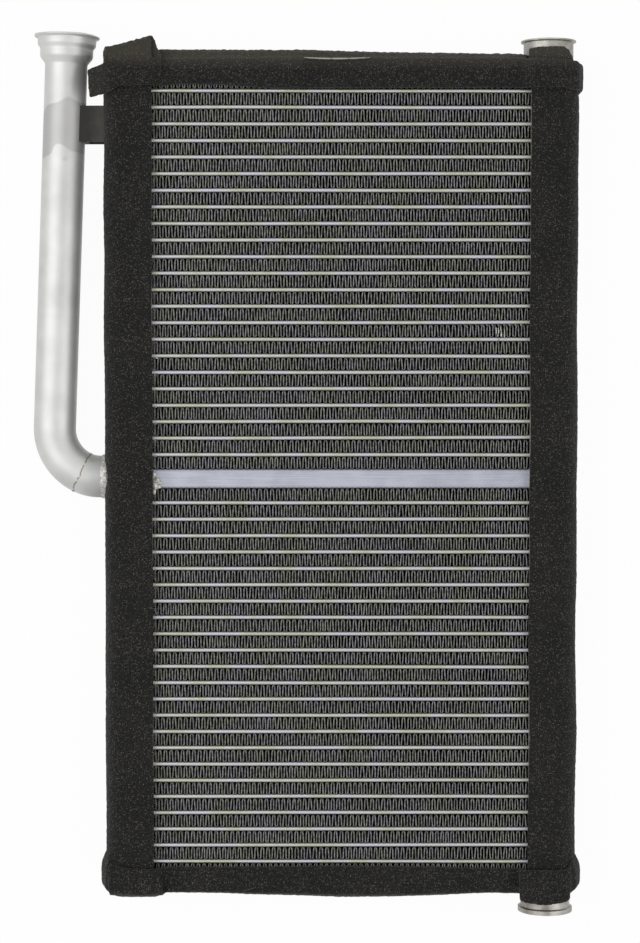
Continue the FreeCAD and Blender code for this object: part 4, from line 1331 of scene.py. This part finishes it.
@dataclass
class BrazeDetail:
    """Frozen filler on the joints: the stub's bead, the pipe's seam and stray runs, with pale lumps on the
    fins as a painted highlight.

    Each lump has its place across, along and up, and its half sizes, in millimetres, as
    has the lumps' waver. The seed keeps the noise vectors the same in each run.
    """

    core: Core
    bead_across: float = -89.3 * MM
    bead_height: float = 0.5 * MM
    bead_radius: float = 8.05 * MM
    bead_half_width: float = 1.3 * MM
    bead_rise: float = 0.36 * MM
    seam_radius: float = 7.98 * MM
    seam_half_width: float = 0.26 * MM
    seam_rise: float = 0.12 * MM
    waver: float = 1.1 * MM
    slow_length: float = 2.6 * MM
    quick_length: float = 0.8 * MM
    turn: float = math.radians(26.0)
    drip_length: float = 1.6 * MM
    drip_waver: float = 0.35
    drip_seed: int = 3
    drips_and_fin_glints: tuple = (
        (-69.3, -0.6, 8.1, 1.5, 1.1, 0.7), (-68.4, -1.5, 8.1, 1.1, 0.8, 0.6),
        (-70.0, -2.6, 8.2, 1.2, 1.5, 0.7), (-69.0, -3.0, 8.1, 1.6, 0.9, 0.6),
        (-70.3, -4.6, 8.1, 0.6, 1.6, 0.5), (-70.4, 1.6, 8.1, 0.7, 1.3, 0.5),
        # Painted highlight: the seven lumps from here on stand for the bright spot where bent fin legs
        # catch the light.
        (59.9, 56.0, 7.95, 0.22, 1.3, 0.25), (60.1, 54.2, 7.95, 0.26, 1.1, 0.25),
        (59.0, 54.9, 7.95, 0.22, 1.9, 0.25), (61.3, 54.6, 7.95, 0.2, 1.9, 0.25),
        (58.3, 55.8, 7.95, 0.18, 1.2, 0.25), (59.4, 52.4, 8.0, 0.8, 0.35, 0.3),
        (61.6, 52.3, 8.0, 0.5, 0.4, 0.3),
    )

    def hoop(
        self, bm: BMesh, centre: Vector, axis: Vector, radius: float, width: float, rise: float
    ) -> list[BMVert]:
        """Adds a closed hoop of oval section round an axis.

        Args:
            bm: The bmesh.
            centre: The hoop's middle.
            axis: The hoop's axis.
            radius: The distance of the section's middle from the axis.
            width: Half the section's width along the axis.
            rise: Half the section's height.

        Returns:
            The hoop's points.
        """
        before = set(bm.verts)
        sideways = axis.cross(Vector((0, 0, 1))).normalized()
        turn = Matrix((sideways, axis, sideways.cross(axis))).transposed().to_4x4()
        oval = Matrix.Diagonal((rise, width, 1.0, 1.0))
        place = Matrix.Translation(centre + sideways * radius)
        section = bmesh.ops.create_circle(
            bm, segments=12, radius=1.0, cap_ends=False, matrix=place @ turn @ oval
        )["verts"]
        edges = list({edge for vert in section for edge in vert.link_edges})
        bmesh.ops.spin(bm, geom=edges, cent=centre, axis=axis, angle=math.tau, steps=160, use_merge=True)
        return [vert for vert in bm.verts if vert not in before]

    def ragged(self, verts: list[BMVert], centre: Vector, axis: Vector, reach: float) -> None:
        """Roughens a hoop: each point moves along the axis and away from it by chance."""
        for vert in verts:
            arm = vert.co - centre
            arm -= axis * arm.dot(axis)
            slow = noise.noise(vert.co / self.slow_length)
            quick = noise.noise(vert.co / self.quick_length)
            vert.co += axis * reach * (0.7 * slow + 0.3 * quick)
            vert.co += arm.normalized() * reach * 0.25 * quick

    def build_bead(self, material: Material) -> None:
        """Builds the weld bead that seats the stub in the header's foam-edged side."""
        bm = bmesh.new()
        centre = self.core.at(self.bead_across, self.bead_height)
        axis = Vector((1, 0, 0))
        verts = self.hoop(bm, centre, axis, self.bead_radius, self.bead_half_width, self.bead_rise)
        self.ragged(verts, centre, axis, self.waver)
        piece = add_piece("stub_weld_bead_ragged", bm, material)
        smooth(piece, 60)
        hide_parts("stub_weld_bead")

    def build_seam(self, seam: Vector, material: Material) -> None:
        """Builds the thin, wavy line of filler between the pipe and its stub."""
        bm = bmesh.new()
        axis = Vector((-math.cos(self.turn), math.sin(self.turn), 0))
        verts = self.hoop(bm, seam, axis, self.seam_radius, self.seam_half_width, self.seam_rise)
        self.ragged(verts, seam, axis, self.waver)
        piece = add_piece("pipe_braze_seam", bm, material)
        smooth(piece, 60)
        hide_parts("pipe_braze_ring")

    def build_drips_and_fin_glints(self, material: Material) -> None:
        """Builds the runs of filler beside the centre bar, and pale lumps on the fins as a painted
        highlight where bent fin legs catch the light.
        """
        bm = bmesh.new()
        for across, along, up, wide, tall, deep in self.drips_and_fin_glints:
            place = Matrix.Translation(self.core.at(across * MM, along * MM, up * MM))
            size = Matrix.Diagonal((wide * MM, tall * MM, deep * MM, 1.0))
            bmesh.ops.create_icosphere(bm, subdivisions=3, radius=1.0, matrix=place @ size)
        noise.seed_set(self.drip_seed)
        for vert in bm.verts:
            vert.co += noise.noise_vector(vert.co / self.drip_length) * self.drip_waver * MM
        piece = add_piece("braze_drips_and_fin_glints", bm, material)
        smooth(piece, 60)


@dataclass
class Studio:
    """White floor, soft lamps, and a camera that looks down on the core's face."""

    target: Vector
    distance: float = 0.85
    pitch: float = math.radians(2.5)
    picture_height: float = 353.2 * MM
    sensor: float = 36.0
    paper: str = "#f2f2f2"
    glow: float = 0.96
    sky_light: float = 0.45

    def build(self) -> None:
        """Builds the floor, the world, the lamps and the camera."""
        self.add_floor()
        self.add_world()
        self.add_lamp("key", (-0.8, 0.16, 1.05), 1.3, 9.2)
        self.add_lamp("fill", (0.85, -0.2, 0.85), 0.9, 4.0)
        self.add_camera()

    def seen(self, tree: NodeTree) -> Node:
        """Adds the nodes that tell a camera's ray, straight, mirrored or through glass.

        Args:
            tree: The node tree.

        Returns:
            The node that gives 1 for such a ray, and 0 for light.
        """
        path = add_node(tree, "LightPath", {}).outputs
        rays = {0: path["Is Camera Ray"], 1: path["Is Glossy Ray"]}
        direct = add_node(tree, "Math", rays, operation="ADD", use_clamp=True)
        rays = {0: direct, 1: path["Is Transmission Ray"]}
        return add_node(tree, "Math", rays, operation="ADD", use_clamp=True)

    def add_floor(self) -> None:
        """Adds the floor, which shows white and keeps the object's shadow."""
        bm = bmesh.new()
        bmesh.ops.create_grid(bm, x_segments=1, y_segments=1, size=3.0)
        mesh = bpy.data.meshes.new("studio_floor")
        bm.to_mesh(mesh)
        bm.free()
        floor = bpy.data.objects.new("studio_floor", mesh)
        bpy.context.scene.collection.objects.link(floor)
        material, tree, _ = start_material("white_studio_paper")
        share = add_node(tree, "Math", {0: self.seen(tree), 1: self.glow}, operation="MULTIPLY")
        matt = add_node(tree, "BsdfDiffuse", {"Color": linear(self.paper), "Roughness": 0.0})
        white = add_node(tree, "Emission", {"Color": linear("#ffffff"), "Strength": 1.0})
        mixed = add_node(tree, "MixShader", {0: share, 1: matt, 2: white})
        add_node(tree, "OutputMaterial", {"Surface": mixed})
        mesh.materials.append(material)

    def add_world(self) -> None:
        """Adds a world that shows white and gives a soft, even light."""
        world = bpy.data.worlds.new("white_studio")
        world.use_nodes = True
        tree = world.node_tree
        tree.nodes.clear()
        levels = {"Value": self.seen(tree), "To Min": self.sky_light, "To Max": 1.0}
        strength = add_node(tree, "MapRange", levels)
        sky = add_node(tree, "Background", {"Color": linear("#ffffff"), "Strength": strength})
        add_node(tree, "OutputWorld", {"Surface": sky})
        bpy.context.scene.world = world

    def add_lamp(self, name: str, place: tuple[float, float, float], size: float, power: float) -> None:
        """Adds a square area lamp that faces the core.

        Args:
            name: The lamp's name.
            place: The lamp's place, in metres.
            size: The lamp's side.
            power: The lamp's power, in watts.
        """
        light = bpy.data.lights.new(name, "AREA")
        light.energy = power
        light.size = size
        lamp = bpy.data.objects.new(name, light)
        lamp.location = place
        lamp.rotation_euler = (self.target - Vector(place)).to_track_quat("-Z", "Y").to_euler()
        bpy.context.scene.collection.objects.link(lamp)

    def add_camera(self) -> None:
        """Adds the camera at the photograph's viewing angle."""
        data = bpy.data.cameras.new("camera")
        data.sensor_width = self.sensor
        data.lens = self.sensor * self.distance / self.picture_height
        camera = bpy.data.objects.new("camera", data)
        back = Vector((0, math.sin(self.pitch), math.cos(self.pitch)))
        camera.location = self.target + back * self.distance
        camera.rotation_euler = (-self.pitch, 0, 0)
        bpy.context.scene.collection.objects.link(camera)
        bpy.context.scene.camera = camera
        bpy.context.scene.view_settings.view_transform = "Standard"


def dress(frame: dict, material: Material, *nodes: str) -> None:
    """Gives CAD nodes a material.

    Args:
        frame: The loaded frame.
        material: The material.
        nodes: The nodes' names.
    """
    for name in nodes:
        mesh = frame["nodes"][name].data
        mesh.materials.clear()
        mesh.materials.append(material)


def main() -> None:
    """Builds the scene in order."""
    logging.basicConfig(level=logging.INFO, format="%(name)s: %(message)s")
    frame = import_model()
    core = Core.read()
    tube = BrazedTubeFinish().build()
    fin = FinFinish(core.middle).build()
    pipe = PipeFinish(core.middle).build()
    header = HeaderFinish().build("pressed_aluminium_header")
    braze = BrazeFinish().build("frozen_braze_filler")
    scorched = BrazeFinish(light="#a59c88", shade="#7d7667").build("scorched_braze_filler")
    foam = FoamFinish(core.middle).build()
    dress(frame, BarFinish().build(), "centre_bar")
    dress(frame, header, "top_channel", "bottom_channel", "left_header_plate", "right_header_plate")
    dress(frame, header, "left_header_tank", "right_header_tank", "left_top_cap", "left_bottom_cap")
    dress(frame, header, "outlet_collar", "lower_collar", "lower_plug")
    dress(frame, pipe, "inlet_pipe", "inlet_stub")
    dress(frame, braze, "stub_weld_bead", "pipe_braze_ring")
    dress(frame, BracketFinish(core.middle).build(), "pipe_bracket")
    for node in ("upper_tubes", "lower_tubes"):
        TubeBank(node).build(tube)
    for seed, node in enumerate(("upper_fins", "lower_fins"), start=5):
        FinBank(node, seed=seed).build(fin)
    inlet = InletPipe(core)
    inlet.build_pipe(pipe)
    detail = BrazeDetail(core)
    detail.build_bead(braze)
    detail.build_seam(inlet.seam(), scorched)
    detail.build_drips_and_fin_glints(braze)
    for side in Side:
        SideFoam(core, side).build(foam)
    for end in End:
        EndFoam(core, end).build(foam)
    GapLightStrip(core).build(GapLightFinish().build())
    Studio(core.at(-7.9 * MM, 2.9 * MM, 12.0 * MM)).build()


if __name__ == "__main__":
    main()
